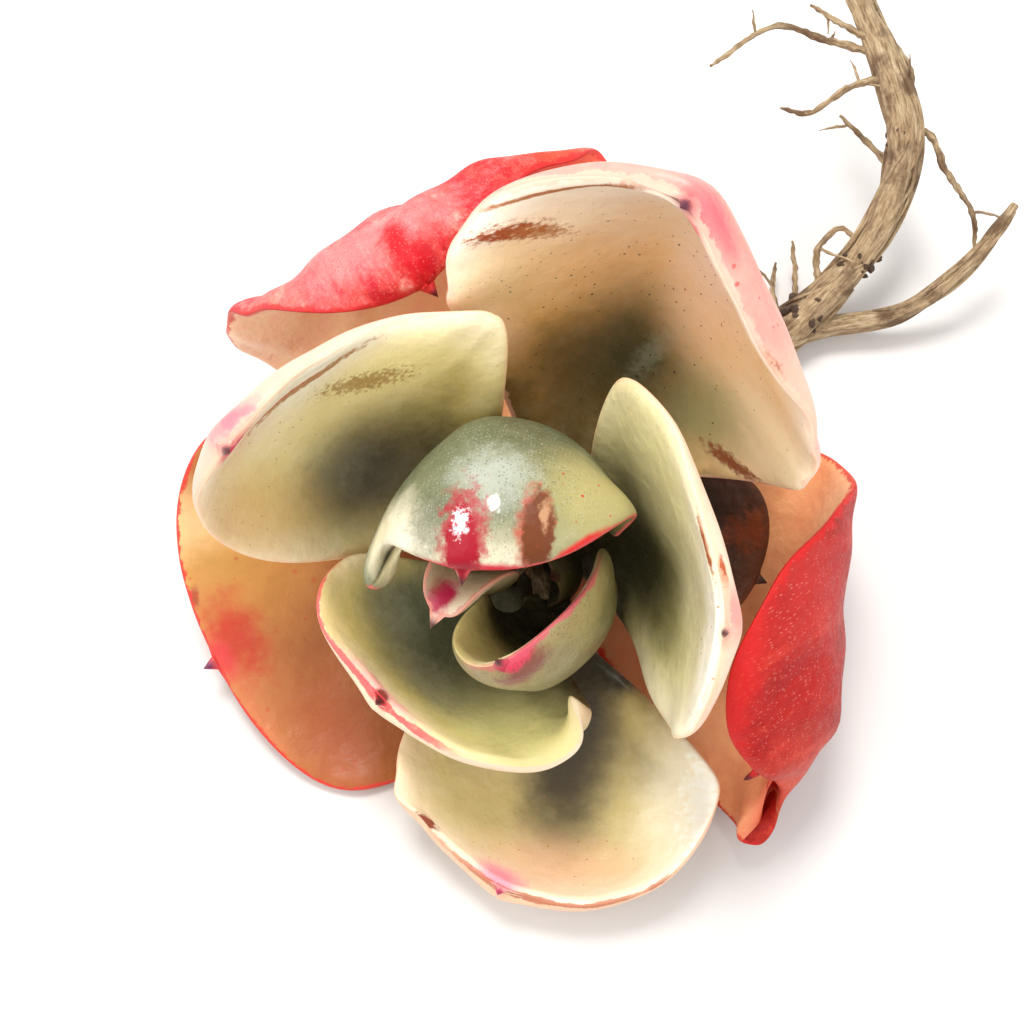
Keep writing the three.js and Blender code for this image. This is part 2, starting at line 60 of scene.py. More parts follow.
# What every leaf shares. Rows of points are closer together towards the tip, and columns towards the rim.
COLUMNS_A_SIDE = 42
RIMWARD_CROWDING = 1.7
LOWER_ROWS = 44
LOWER_ROWS_REACH = 0.55
UPPER_ROWS = 74
LAST_ROW_AT = 0.9995
LAST_ROW_TURN = math.pi / 2 * 0.99
POINT_ROWS = 8
POINT_ROWS_REACH = (0.08, 0.97)
MIDRIB_STEPS = 240
SECTION_STEPS = 96
SLOPE_STEP = 0.02
OPENED_BY = 0.6
KEEL_ROUNDING = 2.6
INNER_EDGE_ROUNDING = 1.5
OUTER_EDGE_ROUNDING = 3.2
BASE_RAMP = 0.85
MUCRO_HALF_WIDTH = 1.6
MUCRO_FOOT = 3
MUCRO_TAPER = 0.55
MUCRO_THICKNESS = 0.9
MUCRO_BLENDING = 4.0
INNER_SHARE = 0.35
THICKNESS_AT_BASE = 1.15
THINNING_TO_TIP = 0.45
THINNING_TO_RIM = 0.35

# The relief of the leaves, finer here than in the part's source. The rim's wave turns by so many radians a
# millimetre on the left and right half, and each leaf starts it NEXT_PHASE later. Dents are so many
# millimetres long and wide, and lie in rows that sway by so many radians, over so many dents.
NEXT_PHASE = 1.7
WAVE_TURNING = (0.42, 0.47)
WAVE_START = (0, 2.1)
WAVE_FADE_IN = 3
WAVE_FADE_OUT = 6
RIDGE_WIDTH = 2.2
RIDGE_FADE_IN = 1.5
DENTS_FROM = 0.3
DENT_ALONG = 2.1
DENT_ACROSS = 2.7
SWAY_ALONG = 1.3
SWAY_ACROSS = 0.8
SWAYING_ALONG = 1.6
SWAYING_ACROSS = 1.15

# Each leaf, from the heart outwards, as in the part's source. Pairs are for its left and right half.
# wave lifts and drops the rim by so many millimetres, crumple dents the whole blade by so many, and ridge
# is a soft keel on its back.
LEAF_DEFAULTS = {
    "sweep": 0,
    "sweep_bow": 0,
    "roll": (0, 0),
    "roll_bow": 0,
    "curl": (0, 0),
    "cup_at_base": 1,
    "cup_at_tip": (1, 1),
    "base_half_width": 2.4,
    "mucro": 1.6,
    "wave": 0.35,
    "crumple": 0.12,
    "ridge": 0.35,
}
LEAVES = {
    "bud_leaf_a": {
        "azimuth": -4, "seat_radius": 1.6, "seat_height": 9.6,
        "length": 16, "half_width": (4, 5), "thickness": 1.8, "base_half_width": 1.6, "mucro": 1.2,
        "pitch": (62, 78, 110), "sweep": 27, "roll": (-2, 2),
        "cup": (56, 57), "keel": 11, "widest_at": (0.52, 0.52), "blunt": (1.9, 1.9),
    },
    "bud_leaf_b": {
        "azimuth": 150, "seat_radius": 1.4, "seat_height": 10.9,
        "length": 7, "half_width": (4, 3.5), "thickness": 1.6, "base_half_width": 1.4, "mucro": 1.2,
        "pitch": (79, 81, 97), "sweep": 2, "roll": (0, 2),
        "cup": (62, 59), "keel": 10, "widest_at": (0.5, 0.5), "blunt": (1.8, 1.9),
        "cup_at_tip": (1.05, 0.95),
    },
    "leaf_01_heart_narrow": {
        "azimuth": 189, "seat_radius": 5, "seat_height": 10.1,
        "length": 23.5, "half_width": (5, 4.8), "thickness": 2.1, "base_half_width": 2,
        "pitch": (47, 109, 14), "sweep": 54, "roll": (3, 19),
        "cup": (40, 40), "curl": (-21, 4), "keel": 23, "widest_at": (0.58, 0.62), "blunt": (2.6, 1.8),
        "cup_at_base": 0.85, "cup_at_tip": (1.45, 0.75),
    },
    "leaf_02_heart_cupped": {
        "azimuth": 283, "seat_radius": 4.8, "seat_height": 9.2,
        "length": 29, "half_width": (14.5, 11), "thickness": 2.7, "mucro": 1.5,
        "pitch": (40, 92, 112), "sweep": 22, "roll": (-17, -12),
        "cup": (83, 104), "curl": (-10, 11), "keel": 12, "widest_at": (0.62, 0.46), "blunt": (1.8, 1.7),
        "cup_at_base": 1.15, "cup_at_tip": (0.45, 0.8),
    },
    "leaf_03_heart_hooded": {
        "azimuth": 99, "seat_radius": 4.4, "seat_height": 8.1,
        "length": 39.5, "half_width": (18.5, 17.5), "thickness": 3,
        "pitch": (56, 83, 186), "sweep": -13, "sweep_bow": 3, "roll": (2, 17), "roll_bow": 2,
        "cup": (51, 99), "curl": (-14, -4), "keel": 10, "widest_at": (0.62, 0.56), "blunt": (3.4, 2.5),
        "cup_at_base": 0.95, "cup_at_tip": (1.5, 0.4),
    },
    "leaf_04_inner_lower_left": {
        "azimuth": 226, "seat_radius": 3, "seat_height": 6.4,
        "length": 23.5, "half_width": (26, 14), "thickness": 3.1,
        "pitch": (25, 36, 86), "sweep": -13, "sweep_bow": 1, "roll": (-1, 10), "roll_bow": 1,
        "cup": (55, 49), "curl": (28, 14), "keel": 0, "widest_at": (0.52, 0.64), "blunt": (2.6, 3.1),
        "cup_at_base": 1.05, "cup_at_tip": (0.8, 0.2),
    },
    "leaf_05_inner_right": {
        "azimuth": -3, "seat_radius": 3.4, "seat_height": 5.2,
        "length": 36.5, "half_width": (22, 13), "thickness": 3.1,
        "pitch": (41, 60, 83), "sweep": -22, "roll": (13, 20),
        "cup": (27, 15), "curl": (-18, 14), "keel": 6, "widest_at": (0.58, 0.66), "blunt": (2.2, 2.8),
        "cup_at_base": 1.2, "cup_at_tip": (1, 1.2),
    },
    "leaf_06_middle_left": {
        "azimuth": 154, "seat_radius": 4.6, "seat_height": 5.4,
        "length": 42, "half_width": (12, 27), "thickness": 3.1,
        "pitch": (39, 40, 119), "sweep": -1, "sweep_bow": -4, "roll": (-18, -12), "roll_bow": 1,
        "cup": (67, 54), "curl": (-48, -26), "keel": 0, "widest_at": (0.6, 0.48), "blunt": (1.7, 1.8),
        "cup_at_base": 0.95, "cup_at_tip": (0.7, 0.6),
    },
    "leaf_07_middle_upper_right": {
        "azimuth": 72, "seat_radius": 4.6, "seat_height": 3.8,
        "length": 54, "half_width": (24, 26), "thickness": 3.3,
        "pitch": (7, 38, 110), "sweep": -34, "sweep_bow": -1, "roll": (7, 4), "roll_bow": 10,
        "cup": (40, 43), "curl": (-11, -22), "keel": 23, "widest_at": (0.58, 0.46), "blunt": (3.9, 2.4),
        "cup_at_base": 0.85, "cup_at_tip": (1.4, 0.2),
    },
    "leaf_08_outer_bottom": {
        "azimuth": 261, "seat_radius": 5.4, "seat_height": 3.8,
        "length": 34, "half_width": (24, 15), "thickness": 3.2,
        "pitch": (23, 7, 85), "sweep": 7, "roll": (-6, -26),
        "cup": (41, 42), "curl": (8, 6), "keel": 3, "widest_at": (0.56, 0.58), "blunt": (3.7, 2.7),
        "cup_at_tip": (1.35, 0.9),
    },
    "leaf_09_outer_left": {
        "azimuth": 192, "seat_radius": 4.6, "seat_height": 2.1,
        "length": 34.5, "half_width": (20.5, 24.5), "thickness": 3.1,
        "pitch": (13, 5, 33), "sweep": 13, "roll": (-6, 1),
        "cup": (22, 19), "curl": (0, 11), "keel": 0, "widest_at": (0.58, 0.6), "blunt": (2.6, 2.3),
        "cup_at_base": 0.9, "cup_at_tip": (1.15, 1.15), "crumple": 0.2,
    },
    "leaf_10_outer_top_hooded": {
        "azimuth": 92, "seat_radius": 3.7, "seat_height": 0,
        "length": 53.5, "half_width": (24, 22.5), "thickness": 3,
        "pitch": (16, 24, 190), "sweep": 36, "sweep_bow": 12, "roll": (8, -13),
        "cup": (5, 28), "curl": (-50, 0), "keel": 0, "widest_at": (0.64, 0.54), "blunt": (1.4, 2.1),
        "cup_at_base": 0.5, "cup_at_tip": (0.2, 0.95), "crumple": 0.8,
    },
    "leaf_11_outer_right_hooded": {
        "azimuth": 308, "seat_radius": 4.4, "seat_height": 0.5,
        "length": 50, "half_width": (28.5, 15.5), "thickness": 3,
        "pitch": (-14, 25, 178), "sweep": 90, "sweep_bow": -8, "roll": (-23, -60), "roll_bow": 22,
        "cup": (20, -2), "curl": (-21, -55), "keel": 12, "widest_at": (0.3, 0.76), "blunt": (2.6, 3.7),
        "cup_at_base": 0.5, "cup_at_tip": (1.7, 1.25), "crumple": 0.4,
    },
    "leaf_12_withered": {
        "azimuth": 3, "seat_radius": 3.8, "seat_height": 2.2,
        "length": 20.5, "half_width": (10.5, 8.5), "thickness": 1.4, "base_half_width": 1.8, "mucro": 1.2,
        "pitch": (21, 9, 10), "sweep": -26, "roll": (-4, -5),
        "cup": (14, 15), "curl": (-8, 5), "keel": 5, "widest_at": (0.6, 0.6), "blunt": (2.5, 2.2),
        "cup_at_base": 0.9, "cup_at_tip": (1.05, 0.8), "wave": 1,
    },
}
LEAVES = {name: {**LEAF_DEFAULTS, **leaf} for name, leaf in LEAVES.items()}


def mixed(first, second, share):
    """A share of the way from first to second."""
    return first + (second - first) * share


def smoothstep(value):
    """From 0 to 1 with level ends."""
    value = np.clip(value, 0, 1)
    return value * value * (3 - 2 * value)


def share_at(leaf, distance):
    """A distance from the leaf's base as a share of its length."""
    return np.clip(distance / leaf["length"], 0, 1)


def bow_at(share):
    """How much of a bow is felt at a share of the length: none at both ends and all in the middle."""
    return 4 * share * (1 - share)


def quadratic(values, share):
    """The value at a share of the way along a curve through three values."""
    at_start, at_middle, at_end = values
    first = at_start * (2 * share - 1) * (share - 1)
    second = at_middle * bow_at(share)
    third = at_end * share * (2 * share - 1)
    return first + second + third


def midrib_frame(leaf, share):
    """Unit vectors at shares of the length: to the tip, to the right, and out of the inner face."""
    pitch = np.radians(quadratic(leaf["pitch"], share))
    bow = bow_at(share)
    heading = np.radians(leaf["azimuth"] + leaf["sweep"] * share + leaf["sweep_bow"] * bow)
    roll = np.radians(mixed(*leaf["roll"], share) + leaf["roll_bow"] * bow)
    to_tip = np.stack([np.cos(pitch) * np.cos(heading), np.cos(pitch) * np.sin(heading),
                       np.sin(pitch)], axis=-1)
    level = np.stack([-np.sin(pitch) * np.cos(heading), -np.sin(pitch) * np.sin(heading),
                      np.cos(pitch)], axis=-1)
    side = np.cross(to_tip, level)
    outward = level * np.cos(roll)[..., None] + side * np.sin(roll)[..., None]
    return to_tip, np.cross(to_tip, outward), outward


def midrib_points(leaf, distances):
    """Points of the midrib at distances from the leaf's seat."""
    reach = leaf["length"] + leaf["mucro"] + 1
    step = reach / MIDRIB_STEPS
    share = share_at(leaf, (np.arange(MIDRIB_STEPS) + 0.5) * step)
    to_tip, _, _ = midrib_frame(leaf, share)
    azimuth = math.radians(leaf["azimuth"])
    seat = np.array([leaf["seat_radius"] * math.cos(azimuth),
                     leaf["seat_radius"] * math.sin(azimuth), leaf["seat_height"]])
    walked = np.vstack([seat, seat + np.cumsum(to_tip * step, axis=0)])
    stops = np.arange(MIDRIB_STEPS + 1) * step
    return np.stack([np.interp(distances, stops, walked[:, axis]) for axis in range(3)], axis=-1)


def half_width_at(leaf, side, distance):
    """How wide one half of the flattened blade is at a distance from its base."""
    share = share_at(leaf, distance)
    widest_at = leaf["widest_at"][side]
    half = leaf["half_width"][side]
    power = leaf["blunt"][side]
    rise = smoothstep(share / widest_at) ** BASE_RAMP
    below = mixed(leaf["base_half_width"], half, rise)
    towards_tip = np.clip((share - widest_at) / (1 - widest_at), 0, 1)
    above = half * np.maximum(1 - towards_tip ** power, 0) ** (1 / power)
    blade = np.where(share < widest_at, below, above)
    point = np.minimum((leaf["length"] + leaf["mucro"] - distance) * MUCRO_TAPER, MUCRO_HALF_WIDTH)
    point = np.where(distance < leaf["length"] - MUCRO_FOOT, 0, np.maximum(point, 0))
    return (blade ** MUCRO_BLENDING + point ** MUCRO_BLENDING) ** (1 / MUCRO_BLENDING)


def row_distances(leaf):
    """How far from the base each row of points lies."""
    length = leaf["length"]
    lower = np.linspace(0, LOWER_ROWS_REACH, LOWER_ROWS, endpoint=False) * length
    towards_end = np.sin(np.linspace(0, LAST_ROW_TURN, UPPER_ROWS)) / math.sin(LAST_ROW_TURN)
    upper = mixed(LOWER_ROWS_REACH, LAST_ROW_AT, towards_end) * length
    point = length + leaf["mucro"] * np.linspace(*POINT_ROWS_REACH, POINT_ROWS)
    return np.concatenate([lower, upper, point])


def section_offsets(leaf, side, distances, shares_out):
    """How far sideways and upward each point of the blade's cross sections lies from the midrib."""
    share = share_at(leaf, distances)
    half_width = half_width_at(leaf, side, distances)
    mean_half_width = sum(leaf["half_width"]) / 2
    opening = mixed(leaf["cup_at_base"], 1, np.clip(share / OPENED_BY, 0, 1))
    opening = opening * mixed(1, leaf["cup_at_tip"][side], np.clip(2 * share - 1, 0, 1))
    steps = (np.arange(SECTION_STEPS) + 0.5) / SECTION_STEPS

    def heading(out):
        from_midrib = half_width[:, None] * out
        reach = from_midrib / mean_half_width
        bend = leaf["cup"][side] * reach + leaf["curl"][side] * reach ** 3
        keel = leaf["keel"] * np.tanh(from_midrib / KEEL_ROUNDING)
        return np.radians(keel + opening[:, None] * bend)

    middle_heading = heading(steps)
    width = half_width[:, None] / SECTION_STEPS
    start = np.zeros((len(distances), 1))
    sideways = np.hstack([start, np.cumsum(np.cos(middle_heading) * width, axis=1)])
    upward = np.hstack([start, np.cumsum(np.sin(middle_heading) * width, axis=1)])
    place = shares_out * SECTION_STEPS
    index = np.minimum(place.astype(int), SECTION_STEPS - 1)
    rest = place - index
    sideways = mixed(sideways[:, index], sideways[:, index + 1], rest)
    upward = mixed(upward[:, index], upward[:, index + 1], rest)
    return sideways, upward, heading(shares_out), half_width


def spread(vectors, amounts):
    """Each row's vector times every amount in that row."""
    return vectors[:, None, :] * amounts[..., None]


def edge_rounding(from_margin, reach):
    """From 0 at the margin to 1 at its reach, as a quarter circle."""
    return np.sqrt(1 - (1 - np.clip(from_margin / reach, 0, 1)) ** 2)


def rim_wave(leaf, side, down, out, phase):
    """How far the rim's wave lifts each point."""
    share = share_at(leaf, down)
    turned = down * WAVE_TURNING[side] + phase + WAVE_START[side]
    wave = leaf["wave"] * out ** 3 * np.sin(turned)
    return wave * smoothstep(share * WAVE_FADE_IN) * smoothstep((1 - share) * WAVE_FADE_OUT)


def dents(leaf, down, from_midrib, phase):
    """How far the dents of the upper blade lift each point."""
    share = share_at(leaf, down)
    along = down / DENT_ALONG + SWAY_ALONG * np.sin(from_midrib / (SWAYING_ACROSS * DENT_ACROSS))
    across = from_midrib / DENT_ACROSS + SWAY_ACROSS * np.sin(down / (SWAYING_ALONG * DENT_ALONG))
    dent = leaf["crumple"] * np.sin(along + phase) * np.sin(across)
    return dent * smoothstep(2 * (share - DENTS_FROM))


def blade_thickness(leaf, down, out):
    """How thick the leaf is before its edges are rounded."""
    share = share_at(leaf, down)
    blade = leaf["thickness"] * (THICKNESS_AT_BASE - THINNING_TO_TIP * share)
    blade = blade * (1 - THINNING_TO_RIM * out ** 2)
    point = MUCRO_THICKNESS * (1 - out ** 4)
    return np.where(down > leaf["length"], np.minimum(blade, point), blade)


def half_faces(leaf, side, phase):
    """One half's inner and outer face, each point's place on the leaf and how far it is from the margin."""
    distances = row_distances(leaf)
    down = distances[:, None]
    share = share_at(leaf, down)
    out = 1 - (1 - np.linspace(0, 1, COLUMNS_A_SIDE)) ** RIMWARD_CROWDING
    _, right, outward = midrib_frame(leaf, share[:, 0])
    sideways, upward, heading, half_width = section_offsets(leaf, side, distances, out)
    across = half_width[:, None] * out
    sign = 1 if side == RIGHT else -1
    normal = spread(right, -sign * np.sin(heading)) + spread(outward, np.cos(heading))
    lift = rim_wave(leaf, side, down, out, phase) + dents(leaf, down, sign * across, phase)
    surface = (midrib_points(leaf, distances)[:, None, :] + spread(right, sign * sideways)
               + spread(outward, upward) + normal * lift[..., None])

    wider = (half_width_at(leaf, side, distances + SLOPE_STEP)
             - half_width_at(leaf, side, np.maximum(distances - SLOPE_STEP, 0)))
    slope = wider / (2 * SLOPE_STEP)
    from_margin = np.minimum((half_width[:, None] - across) / np.hypot(1, slope)[:, None],
                             leaf["length"] + leaf["mucro"] - down)
    thickness = blade_thickness(leaf, down, out)
    ridge = leaf["ridge"] * np.exp(-(across / RIDGE_WIDTH) ** 2) * smoothstep(share * RIDGE_FADE_IN)
    inner_depth = INNER_SHARE * thickness * edge_rounding(from_margin, INNER_EDGE_ROUNDING)
    outer_depth = ((1 - INNER_SHARE) * thickness + ridge) * edge_rounding(from_margin, OUTER_EDGE_ROUNDING)
    inner = surface + normal * inner_depth[..., None]
    outer = surface - normal * outer_depth[..., None]
    place = np.stack([sign * across, np.broadcast_to(down, across.shape)], axis=-1)
    return inner, outer, place, from_margin


def leaf_faces(leaf, seed):
    """What half_faces() gives, joined along the midrib for the whole leaf."""
    left_half = half_faces(leaf, LEFT, seed * NEXT_PHASE)
    right_half = half_faces(leaf, RIGHT, seed * NEXT_PHASE)
    return [np.concatenate([left[:, :0:-1], right], axis=1) for left, right in zip(left_half, right_half)]


def quads(ids):
    """Faces between the neighbouring rows and columns of a grid of point numbers."""
    corners = np.stack([ids[:-1, :-1], ids[:-1, 1:], ids[1:, 1:], ids[1:, :-1]], axis=-1)
    return corners.reshape(-1, 4).tolist()


def fan(edge, apex):
    """Faces from the neighbouring points of an edge to one point."""
    return np.stack([edge[:-1], edge[1:], np.full(len(edge) - 1, apex)], axis=-1).tolist()


def closed_rings(ids):
    """A grid of point numbers with its first column once more at the end."""
    return np.hstack([ids, ids[:, :1]])


def lying(points):
    """From the rosette's own frame to the plant as it lies, in the object's frame."""
    azimuth = math.radians(ROSETTE_LEAN_AZIMUTH)
    lean = math.radians(ROSETTE_LEAN)
    axis = np.array([-math.sin(azimuth), math.cos(azimuth), 0.0])
    along = (points @ axis)[..., None] * axis
    turned = (points * math.cos(lean) + np.cross(np.broadcast_to(axis, points.shape), points)
              * math.sin(lean) + along * (1 - math.cos(lean)))
    return turned - np.array([*MIDDLE_OF_BOX, -CROWN_HEIGHT])


def mesh_object(name, points, faces, attributes):
    """An object from points in millimetres. attributes holds one value or vector for each point."""
    mesh = bpy.data.meshes.new(name)
    points = np.array(points, dtype=float)
    points[:, 2] = np.maximum(points[:, 2], 0.0)
    mesh.from_pydata((points * MM).tolist(), [], faces)
    for label, values in attributes.items():
        values = np.asarray(values, dtype=np.float32)
        if values.ndim == 1:
            layer = mesh.attributes.new(label, "FLOAT", "POINT")
            layer.data.foreach_set("value", values)
        else:
            layer = mesh.attributes.new(label, "FLOAT_VECTOR", "POINT")
            layer.data.foreach_set("vector", values.ravel())
    mesh.polygons.foreach_set("use_smooth", [True] * len(mesh.polygons))
    mesh.update()
    piece = bpy.data.objects.new(name, mesh)
    bpy.context.scene.collection.objects.link(piece)
    return piece


def leaf_piece(node, seed):
    """One leaf as a closed mesh: two faces that share their margin, a point at the tip and a base."""
    leaf = LEAVES[node]
    reach = leaf["length"] + leaf["mucro"]
    inner, outer, place, from_margin = leaf_faces(leaf, seed)
    rows, columns = from_margin.shape
    within = columns - 2
    inner_id = np.arange(rows * columns).reshape(rows, columns)
    outer_id = inner_id.copy()
    outer_id[:, 1:-1] = rows * columns + np.arange(rows * within).reshape(rows, within)
    tip_id = rows * (columns + within)
    base = quads(np.stack([outer_id[0], inner_id[0]]))
    faces = (quads(inner_id) + quads(outer_id.T) + fan(inner_id[-1], tip_id) + fan(outer_id[-1, ::-1], tip_id)
             + [tuple(dict.fromkeys(face)) for face in base])

    def both_faces(inner_values, outer_values, at_tip):
        """One row for each point of the mesh."""
        size = len(at_tip)
        outer_values = outer_values[:, 1:-1]
        return np.concatenate([inner_values.reshape(-1, size), outer_values.reshape(-1, size), [at_tip]])

    which_face = np.zeros((rows, columns, 1))
    which_face[:, [0, -1]] = ON_MARGIN
    inner_place = np.concatenate([place, which_face], axis=-1)
    outer_place = np.concatenate([place, np.full((rows, columns, 1), OUTER)], axis=-1)
    points = both_faces(inner, outer, midrib_points(leaf, np.array([reach]))[0])
    return mesh_object("look_" + node, lying(points), faces, {
        "leaf_place": both_faces(inner_place, outer_place, [0, reach, ON_MARGIN]),
        "from_margin": both_faces(from_margin, from_margin, [0])[:, 0]})


# The stem and roots, as in the part's source. Each stop of a thick root ends with its radius there.
STEM_AND_ROOT = [
    (-1.6, -4.5, 17.5, 0.4),
    (-1.4, -3.9, 16.2, 0.6),
    (-0.7, -1.9, 12.0, 1.9),
    (0.0, 0.0, 8.0, 2.4),
    (0.6, 1.9, 4.6, 2.8),
    (4.0, 5.6, 2.9, 3.0),
    (10.0, 12.0, 2.7, 2.8),
    (19.0, 20.5, 2.5, 2.6),
    (28.8, 28.7, 3.0, 2.5),
    (35.8, 34.3, 6.5, 2.1),
    (41.0, 41.0, 11.5, 1.9),
    (42.4, 47.4, 16.5, 2.0),
    (40.4, 54.7, 20.0, 1.7),
    (37.3, 63.4, 21.5, 1.4),
    (36.0, 70.5, 20.5, 1.2),
    (36.8, 77.0, 18.0, 0.8),
]
SIDE_ROOT = [
    (28.0, 28.0, 3.0, 1.6),
    (34.9, 29.9, 3.0, 1.2),
    (43.8, 31.2, 4.5, 1.0),
    (50.1, 34.6, 8.0, 0.85),
    (54.0, 38.8, 11.0, 0.8),
    (56.0, 41.4, 12.0, 0.55),
]
ROOTLETS = [
    [(39.9, 56.0, 20.3), (33.4, 57.8, 21.0), (27.0, 59.4, 21.5), (19.4, 55.2, 20.0)],
    [(40.6, 54.0, 19.7), (34.7, 51.9, 20.0), (30.8, 49.6, 18.5), (27.7, 50.8, 18.0)],
    [(39.3, 58.0, 20.7), (34.2, 59.5, 22.5), (31.0, 61.5, 23.0)],
    [(39.5, 58.6, 20.4), (41.6, 57.7, 20.0), (43.2, 55.2, 19.0), (43.0, 51.0, 17.5)],
    [(41.5, 44.0, 13.0), (40.0, 47.0, 14.0), (37.8, 48.7, 15.0), (35.1, 51.1, 16.0)],
    [(42.0, 47.5, 16.2), (44.9, 48.2, 17.0), (46.6, 43.0, 17.0), (50.6, 39.2, 12.8), (51.6, 36.2, 9.2)],
    [(30.5, 30.0, 3.6), (31.1, 34.0, 3.4), (31.0, 38.1, 3.6), (30.8, 41.0, 4.2)],
    [(29.0, 28.8, 3.4), (28.4, 34.0, 2.4), (28.9, 38.8, 2.6)],
    [(33.6, 32.4, 5.0), (33.0, 37.6, 8.0), (35.5, 39.5, 10.0), (37.6, 37.6, 9.4)],
    [(3.0, 4.6, 3.2), (-3.0, 8.0, 1.8), (-9.0, 11.0, 0.8), (-14.0, 12.5, 0.3)],
    [(7.0, 8.5, 3.0), (4.5, 13.0, 1.6), (2.5, 18.0, 0.6), (-1.0, 22.0, 0.3)],
]
ROOTLET_RADII = (0.5, 0.26)

# Where soil still clings to the main root: the place, how far it spreads, how many crumbs and the
# largest of them.
SOIL_CLUMPS = [
    ((31.0, 30.5, 4.0), 3.0, 46, 0.75),
    ((37.5, 36.5, 8.0), 2.5, 26, 0.6),
    ((42.5, 48.0, 16.5), 3.0, 30, 0.55),
    ((36.2, 71.0, 20.4), 3.5, 40, 0.6),
    ((20.0, 21.0, 2.6), 9.0, 34, 0.6),
]

# The relief of the roots, finer here than in the part's source. Each bark is its seed, its ridges around
# and their depth. A grain moves the bark's pattern on, so that no two strands or rootlets look the same.
ROOT_SEED = 41
MAIN_BARK = (3, 9, 0.11)
SIDE_BARK = (8, 6, 0.12)
MAIN_ROOT_SIDES = 56
SIDE_ROOT_SIDES = 32
ROOTLET_SIDES = 8
STRAND_SIDES = 7
STUB_SIDES = 14
STUB_RINGS = 12
ROOT_SPACING = 0.4
ROOTLET_SPACING = 0.45
CURVE_STEPS = 24
NEVER_ALONG_A_ROOT = (0.3, 0.2, 1)
GRAIN_ALONG = 0.16
FINE_GRAIN = 0.5
FINE_GRAIN_ALONG = 0.45
BARK_TWIST = 0.045
LUMPS = 0.1
LUMPS_ALONG = 0.3
FLATTENING = 0.1
FLATTENING_TWIST = 0.02
MAIN_STRANDS = 26
SIDE_STRANDS = 5
STRANDS_FROM_Y = 4
STRAND_LENGTH = (9, 30)
STRAND_RADIUS = (0.22, 0.5)
STRAND_TAPER = 0.4
STRAND_ENDS = (0.04, 0.96)
STRAND_WINDING = (0.02, 0.1)
STRAND_SWAY = 0.35
STRAND_SWAYING = (0.2, 0.5)
STRAND_SUNK_TO = 0.94
STRAND_BULGE = 0.1
ROOTLET_WANDER = 0.05
ROOTLET_UNEVENNESS = 0.18
ROOTLET_END_SHARE = 0.6
BRANCHES = 16
BRANCH_RADII = (0.2, 0.11)
BRANCH_LEAVES_AT = (0.25, 0.85)
BRANCH_LENGTH = (2.5, 5.5)
BRANCH_BENDING = 0.5
BRANCH_LOWEST = 0.3
STUB_FOOT_DEPTH = 0.8
STUB_FOOT_RADIUS = 0.8
STUB_END = 0.25
STUB_SHARE_OF_LEAF = 0.55
SMALLEST_CRUMB = 0.2
CRUMB_RISE = 0.25
CRUMB_LOWEST = 0.7
CRUMB_STRETCH = (0.65, 1.25)
CRUMB_ROUGHNESS = (0.7, 1.25)
CRUMB_RINGS = 5
CRUMB_SIDES = 8
MAIN_GRAIN = 1
SIDE_GRAIN = 9
STRAND_GRAIN = (5, 3.1)
ROOTLET_GRAIN = (20, 2.3)
BRANCH_GRAIN = (60, 1.9)
STUB_GRAIN = (90, 1.3)

# What the attribute kind says.
BARK = 0.0
SOIL = 1.0


def grain_shift(grain, index):
    """The grain of one of several like pieces."""
    first, step = grain
    return first + step * index


def lengths_along(line):
    """How far each point of a line is from its start."""
    return np.concatenate([[0], np.cumsum(np.linalg.norm(np.diff(line, axis=0), axis=1))])


def unit(vector):
    """The vector at a length of 1."""
    return vector / np.linalg.norm(vector)


def lattice_noise(across, along, cells_around, seed):
    """Smooth noise from -1 to 1 that closes on itself after cells_around steps of across."""
    rows = int(np.ceil(along.max())) + 3
    grid = np.random.default_rng(seed).uniform(-1, 1, (rows, cells_around))
    row = np.floor(along).astype(int)
    column = np.floor(across).astype(int)
    row_share = smoothstep(along - row)
    column_share = smoothstep(across - column)
    near = column % cells_around
    far = (column + 1) % cells_around
    lower = mixed(grid[row, near], grid[row, far], column_share)
    upper = mixed(grid[row + 1, near], grid[row + 1, far], column_share)
    return mixed(lower, upper, row_share)


def smooth_line(stops, spacing):
    """Points at an even spacing on a centripetal curve through stops. Further columns go along."""
    stops = np.array(stops, dtype=float)
    before = 2 * stops[0] - stops[1]
    after = 2 * stops[-1] - stops[-2]
    padded = np.vstack([before, stops, after])
    stretches = len(stops) - 1
    pieces = []
    for i in range(stretches):
        four = padded[i:i + 4]
        gaps = np.sqrt(np.linalg.norm(np.diff(four[:, :3], axis=0), axis=1))
        times = np.concatenate([[0], np.cumsum(gaps)])
        moments = np.linspace(times[1], times[2], CURVE_STEPS, endpoint=i == stretches - 1)[:, None]

        def between(first, second, low, high):
            return first * (high - moments) / (high - low) + second * (moments - low) / (high - low)

        three = [between(four[k], four[k + 1], times[k], times[k + 1]) for k in range(3)]
        two = [between(three[k], three[k + 1], times[k], times[k + 2]) for k in range(2)]
        pieces.append(between(*two, times[1], times[2]))
    line = np.vstack(pieces)
    walked = lengths_along(line[:, :3])
    even = np.linspace(0, walked[-1], max(int(walked[-1] / spacing), 4) + 1)
    return np.stack([np.interp(even, walked, column) for column in line.T], axis=-1)


def carried_frames(line):
    """Two unit vectors across the line at each of its points, carried along it without twisting."""
    tangents = np.gradient(line, axis=0)
    tangents /= np.linalg.norm(tangents, axis=1)[:, None]
    sides = [unit(np.cross(tangents[0], NEVER_ALONG_A_ROOT))]
    for tangent in tangents[1:]:
        sides.append(unit(sides[-1] - tangent * np.dot(sides[-1], tangent)))
    sides = np.array(sides)
    return sides, np.cross(tangents, sides)


